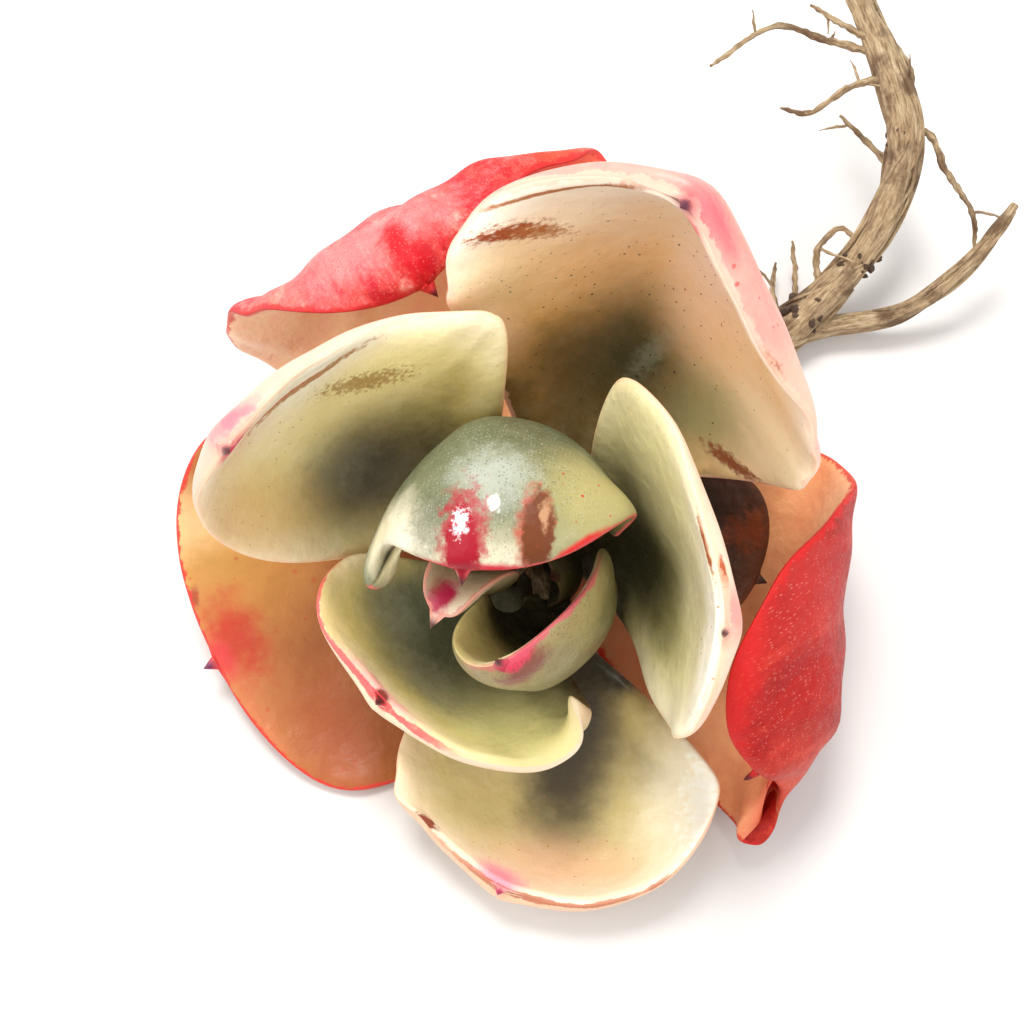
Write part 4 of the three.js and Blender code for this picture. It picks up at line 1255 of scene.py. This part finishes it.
LOOKS = {
    "bud_leaf_a": BUD_IN_PAINTED_SHADE,
    "bud_leaf_b": BUD_IN_PAINTED_SHADE,
    "leaf_01_heart_narrow": {
        # The dark olive at the base of the inner colours is partly painted shade of the heart.
        "inner": [(0, "#3A2C16"), (0.6, "#73643A"), (0.85, "#BFA27E"), (1, "#F0DCC0")],
        "outer": [(0, "#54462A"), (0.6, "#94865A"), (1, "#E4C6AC")],
        "patches": [
            spot(INNER, 0.4, 22, 1.6, 1.9, "#B8244A", soft=0.5, ragged=0.6, grain=0.9),
            spot(INNER, 2.2, 21, 1.4, 2.4, "#7A5E3A", 0.6, soft=0.7),
        ],
        "rim": rim("#E08A78", 0.25, 0.7), "tip_blush": ("#F3DCC4", 0.8),
    },
    "leaf_02_heart_cupped": {
        # The near-black base of the inner colours is painted shade deep in the cup, over its darker olive.
        "inner": [(0, "#1C140A"), (0.35, "#2C220E"), (0.55, "#7C6C3C"), (0.75, "#C4B47C"), (1, "#DFCFA4")],
        "outer": [(0, "#5A5636"), (0.45, "#686240"), (0.75, "#7C744C"), (1, "#968252")],
        "patches": [
            spot(INNER, 6.5, 22, 6, 6, "#EADB94", 0.95),
            spot(OUTER, -9, 24, 3.5, 2.6, "#A69660", 0.5, soft=0.7),
            spot(OUTER, -1.4, 27.6, 2.2, 1.6, "#7C3230", 0.85, soft=0.5, ragged=0.9, grain=1),
            spot(OUTER, -0.8, 29.2, 2.2, 0.7, "#C8304C", turn=14, soft=0.4, ragged=0.6, grain=0.9),
            spot(OUTER, -4, 24.5, 9, 6, "#37301E", 0.6, soft=0.6, specks=FINE_SPECKS),
            spot(INNER, -6.5, 27.3, 6.5, 0.5, "#CC3A50", 0.7, turn=20, soft=0.5, ragged=0.5),
        ],
        "rim": rim("#C2485A", 0.22, 0.8, at=(-6, 26), radii=(9, 6), soft=0.4), "cloud": "#B0AA7E",
        "tip_blush": ("#D03A5A", 1.2),
    },
    "leaf_03_heart_hooded": {
        # The near-black base of the inner colours is partly painted shade of the heart.
        "inner": [(0, "#2A2010"), (0.5, "#464022"), (0.85, "#847C4C"), (1, "#D0BE90")],
        "outer": [(0, "#4C5238"), (0.45, "#52583E"), (0.72, "#646A4C"), (0.88, "#7E7F5C"), (1, "#C8BE98")],
        "patches": [
            spot(OUTER, 2.8, 32, 2.8, 2.4, "#B6BAAC", 0.75, ragged=0.9, grain=0.8),
            spot(OUTER, -7, 36.8, 5.5, 2.8, "#F3EAD2", 0.95, soft=0.7, ragged=0.5),
            spot(OUTER, -9.5, 33.5, 4, 4, "#F0E8CC", 0.9, soft=0.7, ragged=0.5),
            spot(OUTER, -13.5, 29.5, 4, 4.5, "#E6DCB8", 0.9, soft=0.7, ragged=0.5),
            spot(INNER, -12, 31, 6, 7, "#D8CAA0", 0.9, soft=0.7),
            spot(OUTER, 11.5, 32.5, 4.5, 5.5, "#ABA068", 0.9, soft=0.7, ragged=0.4),
            spot(OUTER, 3.6, 38.6, 1.8, 1.8, "#EFE4C8", 0.9, soft=0.7, ragged=0.5),
            spot(OUTER, -2.4, 35.6, 2.6, 2.6, "#565C44", 0.65, soft=0.7, ragged=1, grain=0.8),
            spot(OUTER, 3.6, 35.6, 1.6, 2.4, "#666A50", 0.5, soft=0.7, ragged=0.9, grain=0.8),
            spot(OUTER, -1, 30.5, 11, 9, "#2C3220", 0.42, soft=0.5, specks=FINE_SPECKS),
            spot(OUTER, 0, 29.5, 12, 10, "#B4B8A4", 0.5, soft=0.5, specks=GRANULES),
            spot(OUTER, 1.5, 39.3, 6, 0.5, "#D0283C", soft=0.5, ragged=0.7, grain=0.8),
            spot(OUTER, 0.6, 36.8, 1.9, 3.4, "#A8102E", 0.8, soft=0.4, ragged=1.2, grain=1.2),
            spot(OUTER, 0.6, 37.7, 1.3, 3, "#9C0420", soft=0.25, ragged=0.9, grain=1.3),
            # Painted highlights: small white glints on the waxy hood.
            spot(OUTER, 0.4, 35.7, 0.6, 0.9, "#FBEFF2", 0.85, soft=0.4, ragged=2.4, grain=2.2),
            spot(OUTER, 2.9, 34.4, 0.45, 0.6, "#F6F6F2", 0.9, soft=0.4, ragged=1.2, grain=1.4),
            spot(OUTER, 6.3, 36.4, 1.4, 3.3, "#B4382A", 0.8, soft=0.3, ragged=0.6, grain=1),
            spot(OUTER, 6.6, 36.3, 1.35, 3.2, "#6A3412", soft=0.2, ragged=0.5, grain=1.3, dry=0.5),
            # Painted highlight along the brown scar.
            spot(OUTER, 7, 35, 0.4, 1.1, "#C79A72", 0.7, soft=0.5, ragged=1.4, grain=1.6),
            spot(OUTER, 10.2, 37.4, 3.4, 0.6, "#CE2A26", turn=-35, soft=0.4, ragged=0.4),
            spot(OUTER, 11, 33, 5, 5, "#B84038", soft=0.5, specks=RED_DOTS),
        ],
        "rim": rim("#C8484A", 0.22, 0.75), "cloud": "#8A8E74", "gloss": 0.3, "specular": 0.3, "coat": 0.1,
        "tip_blush": ("#B01A34", 1.2),
    },
    "leaf_04_inner_lower_left": {
        **PALE,
        # The dark base of the inner colours is partly painted shade.
        "inner": [(0, "#2E2914"), (0.4, "#484128"), (0.65, "#7C704A"), (0.86, "#C4B06A"), (1, "#EED6A8")],
        "outer": [(0, "#9A8F60"), (0.5, "#C9B888"), (1, "#EFD3B4")],
        "patches": [
            spot(INNER, -15.5, 17, 8.5, 6.5, "#F0E698", 0.9, ragged=0.3),
            spot(INNER, 10.5, 20.5, 4.5, 3.6, "#C9B268", 0.6, ragged=0.3),
            # Dark patch in the hollow: olive skin and painted shade.
            spot(INNER, 2.2, 12.5, 9.5, 6, "#43472E", 0.9, soft=0.9, ragged=0.3),
            spot(INNER, -2, 16.6, 4, 2, "#7D7A60", 0.6, ragged=1.4, grain=0.8),
            spot(INNER, 4.5, 14, 3, 1.8, "#66634C", 0.5, ragged=1.6, grain=0.9),
            spot(INNER, 1, 23, 4.5, 0.6, "#F2A0A0", 0.8, ragged=1, grain=0.9),
            spot(INNER, 0.2, 23.9, 1.1, 0.9, "#7A2A1C", soft=0.3, ragged=0.6, grain=1.2, dry=1),
        ],
        "pale_edge": 6, "rim": rim("#DC404C", 0.17, 0.85, at=(4.5, 21.5), radii=(13, 7), soft=0.3),
        "tip_blush": ("#E8606A", 1.8),
    },
    "leaf_05_inner_right": {
        **PALE,
        # The near-black base of the inner colours is partly painted shade.
        "inner": [(0, "#221E0F"), (0.35, "#403B22"), (0.55, "#9E955C"), (0.75, "#E0D59C"), (1, "#F5EACC")],
        "outer": [(0, "#D2C290"), (0.6, "#EBD9B4"), (1, "#F3CEB4")],
        "patches": [
            spot(INNER, -17, 23, 7, 8, "#E2D89E", 0.75),
            # Dark patch in the hollow: olive skin and painted shade.
            spot(INNER, -2.5, 15.5, 6.5, 7, "#26240F", 0.9, ragged=0.3),
            spot(INNER, -12.5, 25.5, 6.5, 5.5, "#EEE2A6", 0.9),
            spot(INNER, -0.8, 28.4, 5, 3.5, "#D6C9A2", 0.6, ragged=0.6),
            spot(INNER, 3.5, 35, 7, 3, "#FFF8E8", 0.8),
            spot(INNER, -7.6, 35.3, 2.8, 0.28, "#9C4E22", turn=10, soft=0.4, ragged=0.9, grain=1.2, dry=0.6),
            spot(OUTER, -5, 36, 1.5, 0.28, "#B4582A", turn=10, soft=0.4, ragged=0.9, grain=1.2, dry=0.6),
            spot(OUTER, -1.4, 36, 2.2, 1.8, "#F08A84", 0.85, ragged=0.5),
            spot(INNER, 2, 32.5, 9, 6, "#B8683A", soft=0.6, specks=SPARSE_SPECKS),
        ],
        "tip_blush": ("#EE6A6C", 1.5),
    },
    "leaf_06_middle_left": {
        **PALE,
        # The near-black base of the inner colours is partly painted shade.
        "inner": [(0, "#2C2812"), (0.28, "#6B5F30"), (0.46, "#C4AE66"), (0.66, "#E6D494"), (0.88, "#F0E0B6"),
                  (1, "#FAEAD0")],
        "outer": [(0, "#D0BE88"), (0.6, "#EAD5AC"), (0.9, "#F2D2B6"), (1, "#F2BCA8")],
        "patches": [
            # Dark patch in the hollow: olive skin and painted shade.
            spot(INNER, 2, 17.8, 8.5, 5.6, "#332C12", 0.95, soft=0.9, ragged=0.2),
            spot(INNER, 0.5, 20.8, 4, 2.4, "#6E6A4E", 0.5, ragged=1.3, grain=0.8),
            spot(INNER, 0.5, 35.5, 4, 2, "#D8A066", 0.5, ragged=0.6),
            spot(INNER, -8, 28, 5, 7, "#D8AC68", 0.7),
            spot(INNER, 8.2, 37, 8, 4.6, "#FFF6E4", 0.7),
            spot(INNER, 16.5, 27.5, 7, 5, "#F0DE94", 0.6),
            spot(INNER, 9.2, 35.2, 6.4, 0.75, "#B4763E", 0.9, turn=-6, soft=0.4, ragged=1.4, grain=1.2),
            spot(INNER, 5.5, 36.2, 4.4, 0.2, "#C84A34", turn=-6, soft=0.4, ragged=1.4, grain=1.4),
            spot(INNER, 12.5, 27.5, 4.2, 1.4, "#A27A36", 0.85, turn=-38, soft=0.6, ragged=2.2, grain=1.7,
                 dry=0.4),
            spot(INNER, 1.2, 40.4, 3, 1.6, "#F0A08A", 0.7),
            spot(INNER, 0.6, 41.3, 1.7, 1.5, "#D8406C", soft=0.6, ragged=0.7, grain=0.8),
            spot(OUTER, 2.2, 40.8, 2.4, 1.4, "#EE7484", 0.9, soft=0.7, ragged=0.9, grain=0.6),
            spot(INNER, 2, 31, 15, 9, "#9A7238", 0.7, soft=0.5, specks=SPARSE_SPECKS),
        ],
        "tip_blush": ("#D8406C", 2.8), "point_size": 1.3,
    },
    "leaf_07_middle_upper_right": {
        **PALE,
        # The dark green at the base of the inner colours is partly painted shade.
        "inner": [(0, "#3A371E"), (0.3, "#8A7238"), (0.44, "#DCAC66"), (0.62, "#F6C890"), (0.82, "#FFE2C0"),
                  (1, "#FFEEDC")],
        "outer": [(0, "#DCC89C"), (0.5, "#E6B89C"), (0.8, "#EAAA9C"), (1, "#E89C90")],
        "patches": [
            spot(INNER, -20, 31, 6, 9, "#E6CB98", 0.7),
            spot(INNER, 19.5, 24, 8, 9, "#FFF0CC", 0.85),
            spot(INNER, 5.5, 44, 4.5, 12, "#FFDCC8", 0.85),
            spot(INNER, 12.5, 20.5, 5, 6, "#A8A670", 0.8),
            # The next two dark patches low on the inner face are partly skin and partly painted shade.
            spot(INNER, -6, 17, 9, 5, "#6E5428", 0.7, soft=0.9, ragged=0.3),
            spot(INNER, 1.6, 21.5, 7.4, 6.8, "#333B22", 0.9, soft=0.9, ragged=0.2),
            spot(INNER, 3.8, 22.2, 1.1, 3.4, "#8E937A", 0.5, turn=-12, ragged=1.6, grain=1.2),
            spot(INNER, 7.5, 30.5, 5, 5, "#F4CBA0", 0.6, ragged=0.5),
            spot(INNER, -18, 43.2, 4.2, 1.9, "#A24C26", turn=-33, soft=0.5, ragged=1.9, grain=1, dry=1),
            spot(INNER, -15, 41.2, 3, 1.2, "#B46E38", 0.8, turn=-33, soft=0.6, ragged=2.2, grain=1.6),
            spot(INNER, -12, 52, 8.5, 0.45, "#B27248", turn=14, soft=0.4, ragged=0.8, grain=1, dry=0.7),
            spot(INNER, 17.8, 17.2, 3.6, 1, "#93583A", turn=5, soft=0.5, ragged=1.4, grain=1.3, dry=0.7),
            spot(INNER, -2, 36, 22, 16, "#8E3E20", 0.85, soft=0.5, specks=SPARSE_SPECKS),
            spot(INNER, 0, 27, 22, 15, "#30200F", 0.9, soft=0.4, specks=(1.7, 0.08, 0.3)),
            spot(INNER, 2.2, 51, 1.8, 3.4, "#E8385C", 0.9, turn=12, soft=0.6, ragged=0.6),
            spot(OUTER, 2.5, 52, 3, 2.4, "#E85A68", 0.9, ragged=0.6),
            spot(OUTER, 8, 48.6, 10, 1.6, "#EC8A7C", 0.7, turn=-12, ragged=1.4, grain=0.5),
            spot(OUTER, 11, 49, 11, 5, "#CC3C34", 0.85, soft=0.4, specks=RED_DOTS),
            spot(OUTER, 15.9, 49.7, 2.2, 0.4, "#9C4A28", turn=-35, soft=0.4, ragged=0.9, grain=1.2, dry=0.7),
            spot(OUTER, 21, 44, 6, 7, "#F2CCB0", 0.6),
        ],
        "rim": rim("#F6C8AE", 0.35, 0.6), "tip_blush": ("#E63A68", 2.8), "point": "#4A1A34",
        "point_size": 1.7,
    },
    "leaf_08_outer_bottom": {
        **PALE,
        # The near-black base of the inner colours is partly painted shade.
        "inner": [(0, "#1E1809"), (0.3, "#3A3016"), (0.46, "#93824A"), (0.64, "#C2B06E"), (0.88, "#D4C092"),
                  (1, "#F2DEC0")],
        "outer": [(0, "#C0AE7A"), (0.6, "#DCC496"), (1, "#EBBE9C")],
        "patches": [
            # Pale band along the margin: cream skin with painted sheen.
            spot(INNER, -20.5, 22, 5, 11, "#FAF0D4", 0.85),
            # Painted highlight: white glossy glints along the margin.
            spot(INNER, -22.8, 21, 2.4, 9, "#FFFFF4", 0.7, soft=0.7, ragged=2.2, grain=0.9),
            spot(INNER, 2, 21, 6, 5, "#BFA868", 0.6),
            # The next two patches are the dark channel: olive skin and painted shade.
            spot(INNER, -5.4, 12, 4.2, 11, "#2C2410", 0.95, ragged=0.25),
            spot(INNER, -5.2, 18.5, 4.2, 7, "#3A2E18", 0.9, soft=0.9, ragged=0.4),
            spot(INNER, -5, 29.6, 7, 3, "#F0B890", 0.6, ragged=0.5),
            spot(INNER, 0.8, 33.4, 2.6, 1.9, "#F48FA4", 0.9, soft=0.7, ragged=0.5),
            spot(INNER, 10.5, 31.2, 1.6, 1.1, "#7E3A20", turn=-35, soft=0.4, ragged=1, grain=1.2, dry=1),
            spot(INNER, -6, 27, 12, 6, "#A5683A", 0.7, soft=0.5, specks=SPARSE_SPECKS),
        ],
        "rim": rim("#B0603E", 0.13, 0.85, at=(-5, 33), radii=(13, 3), soft=0.4, ragged=0.8), "gloss": 0.32,
        "coat": 0.15, "tip_blush": ("#EC5C8C", 2), "point": "#A8325C",
    },
    "leaf_09_outer_left": {
        "inner": [(0, "#7C4418"), (0.45, "#9A521E"), (0.75, "#AA622C"), (1, "#C07A44")],
        "outer": [(0, "#B8844A"), (0.6, "#C88854"), (1, "#D8744E")],
        "patches": [
            spot(INNER, 12, 28, 7, 7.5, "#C49448", 0.85),
            spot(INNER, 16, 29, 3.5, 8, "#EEC48C", 0.8, ragged=0.4),
            spot(INNER, 5, 25, 5, 6, "#B87C36", 0.6, ragged=0.6),
            spot(INNER, -14, 26, 7, 5, "#9C4420", 0.6, ragged=0.6),
            spot(INNER, 1.4, 31.4, 4.4, 2.7, "#B82A12", 0.9, ragged=0.9, grain=0.5),
            spot(INNER, 0.2, 33.8, 2.4, 1.1, "#CE2C38", 0.8, soft=0.7, ragged=0.6),
            spot(INNER, -8, 33.4, 5, 1.6, "#C87048", 0.5, ragged=0.6),
            spot(INNER, 7.6, 33.6, 1.1, 0.5, "#A24C2A", turn=-20, soft=0.5, ragged=0.9, grain=1.2, dry=0.7),
            spot(INNER, 0, 27, 19, 9, "#B8401E", 0.5, soft=0.5, specks=(1.9, 0.16, 0.15)),
        ],
        "rim": rim("#CE3226", 0.32, 0.95), "clouding": 0.15, "cloud": "#C08A4A",
        "tip_blush": ("#CA2C44", 2), "point": "#5A2450", "point_size": 1.4, "translucency": 0.18,
    },
    "leaf_10_outer_top_hooded": {
        "inner": [(0, "#C88850"), (0.45, "#F6C894"), (0.75, "#FFDCBA"), (1, "#FFCDB8")],
        "outer": [(0, "#DC7458"), (0.5, "#EC7460"), (0.8, "#F07068"), (1, "#E8584C")],
        "patches": [
            spot(INNER, 20, 35, 9, 9, "#F26A56", 0.9, soft=0.6, ragged=0.4),
            spot(OUTER, -17, 46.5, 6, 2.6, "#F58A74", 0.8),
            spot(OUTER, -5, 47.5, 18, 5.5, "#C00C24", 0.6, soft=0.5, ragged=3.4, grain=0.6),
            spot(OUTER, 10, 46, 9, 5, "#D8282E", 0.5, soft=0.5, ragged=3, grain=0.7),
            spot(OUTER, 20, 41, 8, 6, "#E84C34", 0.9, soft=0.7, ragged=0.8),
            spot(OUTER, -2.5, 47, 9, 2.6, "#FFB0AE", 0.4, turn=4, ragged=1.6, grain=0.6),
            spot(OUTER, 0.2, 50.6, 1.5, 3.4, "#C8101E", 0.95, soft=0.6, ragged=0.9, grain=0.7),
            spot(OUTER, 0, 45, 27, 10, "#FFC8C0", 0.15, soft=0.5, specks=GRANULES),
            spot(OUTER, 0, 46, 27, 10, "#C8242E", 0.35, soft=0.5, specks=FINE_SPECKS),
        ],
        "rim": rim("#CC2A2E", 0.4, 0.8), "cloud": "#F4908C", "clouding": 0.3,
        "mottle": [("#C4142C", 0.47, 0.57, 0.9), ("#FFB8AC", 0.46, 0.36, 0.6)], "dents": 0.9, "folds": 3,
        "gloss": 0.32, "specular": 0.25, "coat": 0.04, "tip_blush": ("#DC2438", 2),
    },
    "leaf_11_outer_right_hooded": {
        "inner": [(0, "#8A5630"), (0.4, "#E8AC78"), (0.72, "#F0A074"), (0.86, "#DC5C44"), (1, "#D8503C")],
        "outer": [(0, "#A63420"), (0.5, "#A42214"), (0.8, "#A6180F"), (1, "#A0120D")],
        "patches": [
            spot(INNER, -21, 37, 6, 6, "#E8BC92", 0.8, ragged=0.5),
            spot(OUTER, -17.5, 42.5, 7, 3, "#C83A36", 0.65, ragged=0.9, grain=0.5),
            spot(OUTER, -22.2, 41, 1.3, 1, "#862824", 0.9, soft=0.6, ragged=1, grain=0.9),
            spot(OUTER, -8, 45, 20, 6, "#B01C1A", 0.5, soft=0.6, ragged=2.4, grain=0.7),
            spot(OUTER, -8, 44, 24, 11, "#F09484", 0.28, soft=0.4, specks=GRANULES),
            spot(OUTER, -13, 48, 9, 1.2, "#D41E1C", 0.8, turn=14, soft=0.7, ragged=0.6),
            spot(OUTER, 7, 46, 7, 5, "#D8604A", 0.6, ragged=0.8),
        ],
        "rim": rim("#C61E1C", 0.5, 0.85), "cloud": "#D04434", "clouding": 0.2,
        "mottle": [("#840A0E", 0.49, 0.58, 0.75), ("#DC4630", 0.46, 0.37, 0.7)], "dents": 0.8,
        "folds": 1.5, "pores": 0.16, "gloss": 0.4, "specular": 0.25, "coat": 0.03,
        "tip_blush": ("#B8182A", 1.4),
    },
    # A withered leaf in the gap under the outer leaves: its dark browns are partly its dry skin and partly
    # painted shade of the gap.
    "leaf_12_withered": {
        "inner": [(0, "#1E0F06"), (0.6, "#361C0C"), (0.85, "#4C2810"), (1, "#663818")],
        "outer": [(0, "#170C06"), (0.6, "#24140A"), (1, "#3A2010")],
        "patches": [
            spot(INNER, -4.6, 18.4, 1.8, 2.6, "#8A431C", turn=30, soft=0.6, ragged=1.6, grain=0.9, dry=1),
            # Painted shade: near black at the base, under the other leaves.
            spot(INNER, 0, 10, 9, 8, "#120A06", 0.8, ragged=0.6),
        ],
        "rim": rim("#5E3416", 0.4, 0.6), "cloud": "#3C2210", "tip_blush": ("#3A2212", 1.5),
        "point": "#2A160C", "gloss": 0.6, "translucency": 0, "coat": 0, "dents": 1.6,
    },
}

# Leaves, stem and roots, each in place of its solid.
for seed, node in enumerate(LEAVES):
    leaf_object = leaf_piece(node, seed)
    leaf_object.data.materials.append(leaf_material(node))
    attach(leaf_object, "root")
    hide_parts(node)

root_object = stem_and_roots_piece()
root_object.data.materials.append(bark_material())
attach(root_object, "root")
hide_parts("stem_and_roots")


# The stage, in metres. Each light has its place, width, power in watts and tint.
FLOOR_HALF_SIZE = 4
FLOOR_NOISE = (9, 3, 0.5)
FLOOR_FADE = (0.3, 0.7)
FLOOR_ROUGHNESS = (0.5, 0.6)
FLOOR_COLOURS = ("#DCDAD8", "#D6D4D2")
LIGHTS_FACE = (0, -0.02, 0.02)
WARM = (1.0, 0.985, 0.96)
PLAIN = (1.0, 0.99, 0.98)
LIGHTS = {
    "key_light": ((-0.12, 0.3, 0.8), 0.3, 5.2, WARM),
    "fill_light": ((0.5, -0.35, 0.6), 0.5, 1.6, PLAIN),
    "left_light": ((-0.55, -0.1, 0.5), 0.5, 1.4, PLAIN),
}
SKY_TINT = (1.0, 0.995, 0.985, 1.0)
SKY_STRENGTH = 0.95


def studio_floor():
    """A plain pale surface for the plant to lie on."""
    half = FLOOR_HALF_SIZE
    mesh = bpy.data.meshes.new("studio_floor")
    corners = [(-half, -half, 0), (half, -half, 0), (half, half, 0), (-half, half, 0)]
    mesh.from_pydata(corners, [], [(0, 1, 2, 3)])
    floor = bpy.data.objects.new("studio_floor", mesh)
    bpy.context.scene.collection.objects.link(floor)
    material, shader = new_material("pale_floor")
    paint = Paint(material.node_tree)
    tone = paint.noise(paint.node("ShaderNodeTexCoord").outputs["Object"], *FLOOR_NOISE)
    colours = [colour(code) for code in FLOOR_COLOURS]
    paint.feed(shader.inputs["Base Color"], paint.mix(paint.fade(tone, *FLOOR_FADE), *colours))
    paint.feed(shader.inputs["Roughness"], paint.fade(tone, *FLOOR_FADE, *FLOOR_ROUGHNESS))
    mesh.materials.append(material)


def area_light(name, at, size, power, tint):
    """A round light that faces the plant."""
    data = bpy.data.lights.new(name, "AREA")
    data.shape = "DISK"
    data.size = size
    data.energy = power
    data.color = tint
    light = bpy.data.objects.new(name, data)
    light.location = at
    light.rotation_euler = (Vector(LIGHTS_FACE) - light.location).to_track_quat("-Z", "Y").to_euler()
    bpy.context.scene.collection.objects.link(light)


def soft_sky():
    """Even pale light from all around."""
    world = bpy.data.worlds.new("soft_sky")
    world.use_nodes = True
    background = world.node_tree.nodes["Background"]
    background.inputs["Color"].default_value = SKY_TINT
    background.inputs["Strength"].default_value = SKY_STRENGTH
    bpy.context.scene.world = world


studio_floor()
soft_sky()
for name, settings in LIGHTS.items():
    area_light(name, *settings)

# The camera looks down on the rosette from a little in front of it.
CAMERA_AT = (-3.82 - MIDDLE_OF_BOX[0], -56.71 - MIDDLE_OF_BOX[1], 174.65)
CAMERA_TILT = 20.0
CAMERA_HALF_ANGLE = 18.1
SENSOR_WIDTH = 36.0
camera_data = bpy.data.cameras.new("camera")
camera_data.sensor_fit = "HORIZONTAL"
camera_data.sensor_width = SENSOR_WIDTH
camera_data.lens = SENSOR_WIDTH / 2 / math.tan(math.radians(CAMERA_HALF_ANGLE))
camera_data.clip_start = 10 * MM
camera = bpy.data.objects.new("camera", camera_data)
camera.location = Vector(CAMERA_AT) * MM
camera.rotation_euler = (math.radians(CAMERA_TILT), 0, 0)
bpy.context.scene.collection.objects.link(camera)
bpy.context.scene.camera = camera
bpy.context.scene.view_settings.view_transform = "Standard"

bpy.context.view_layer.update()
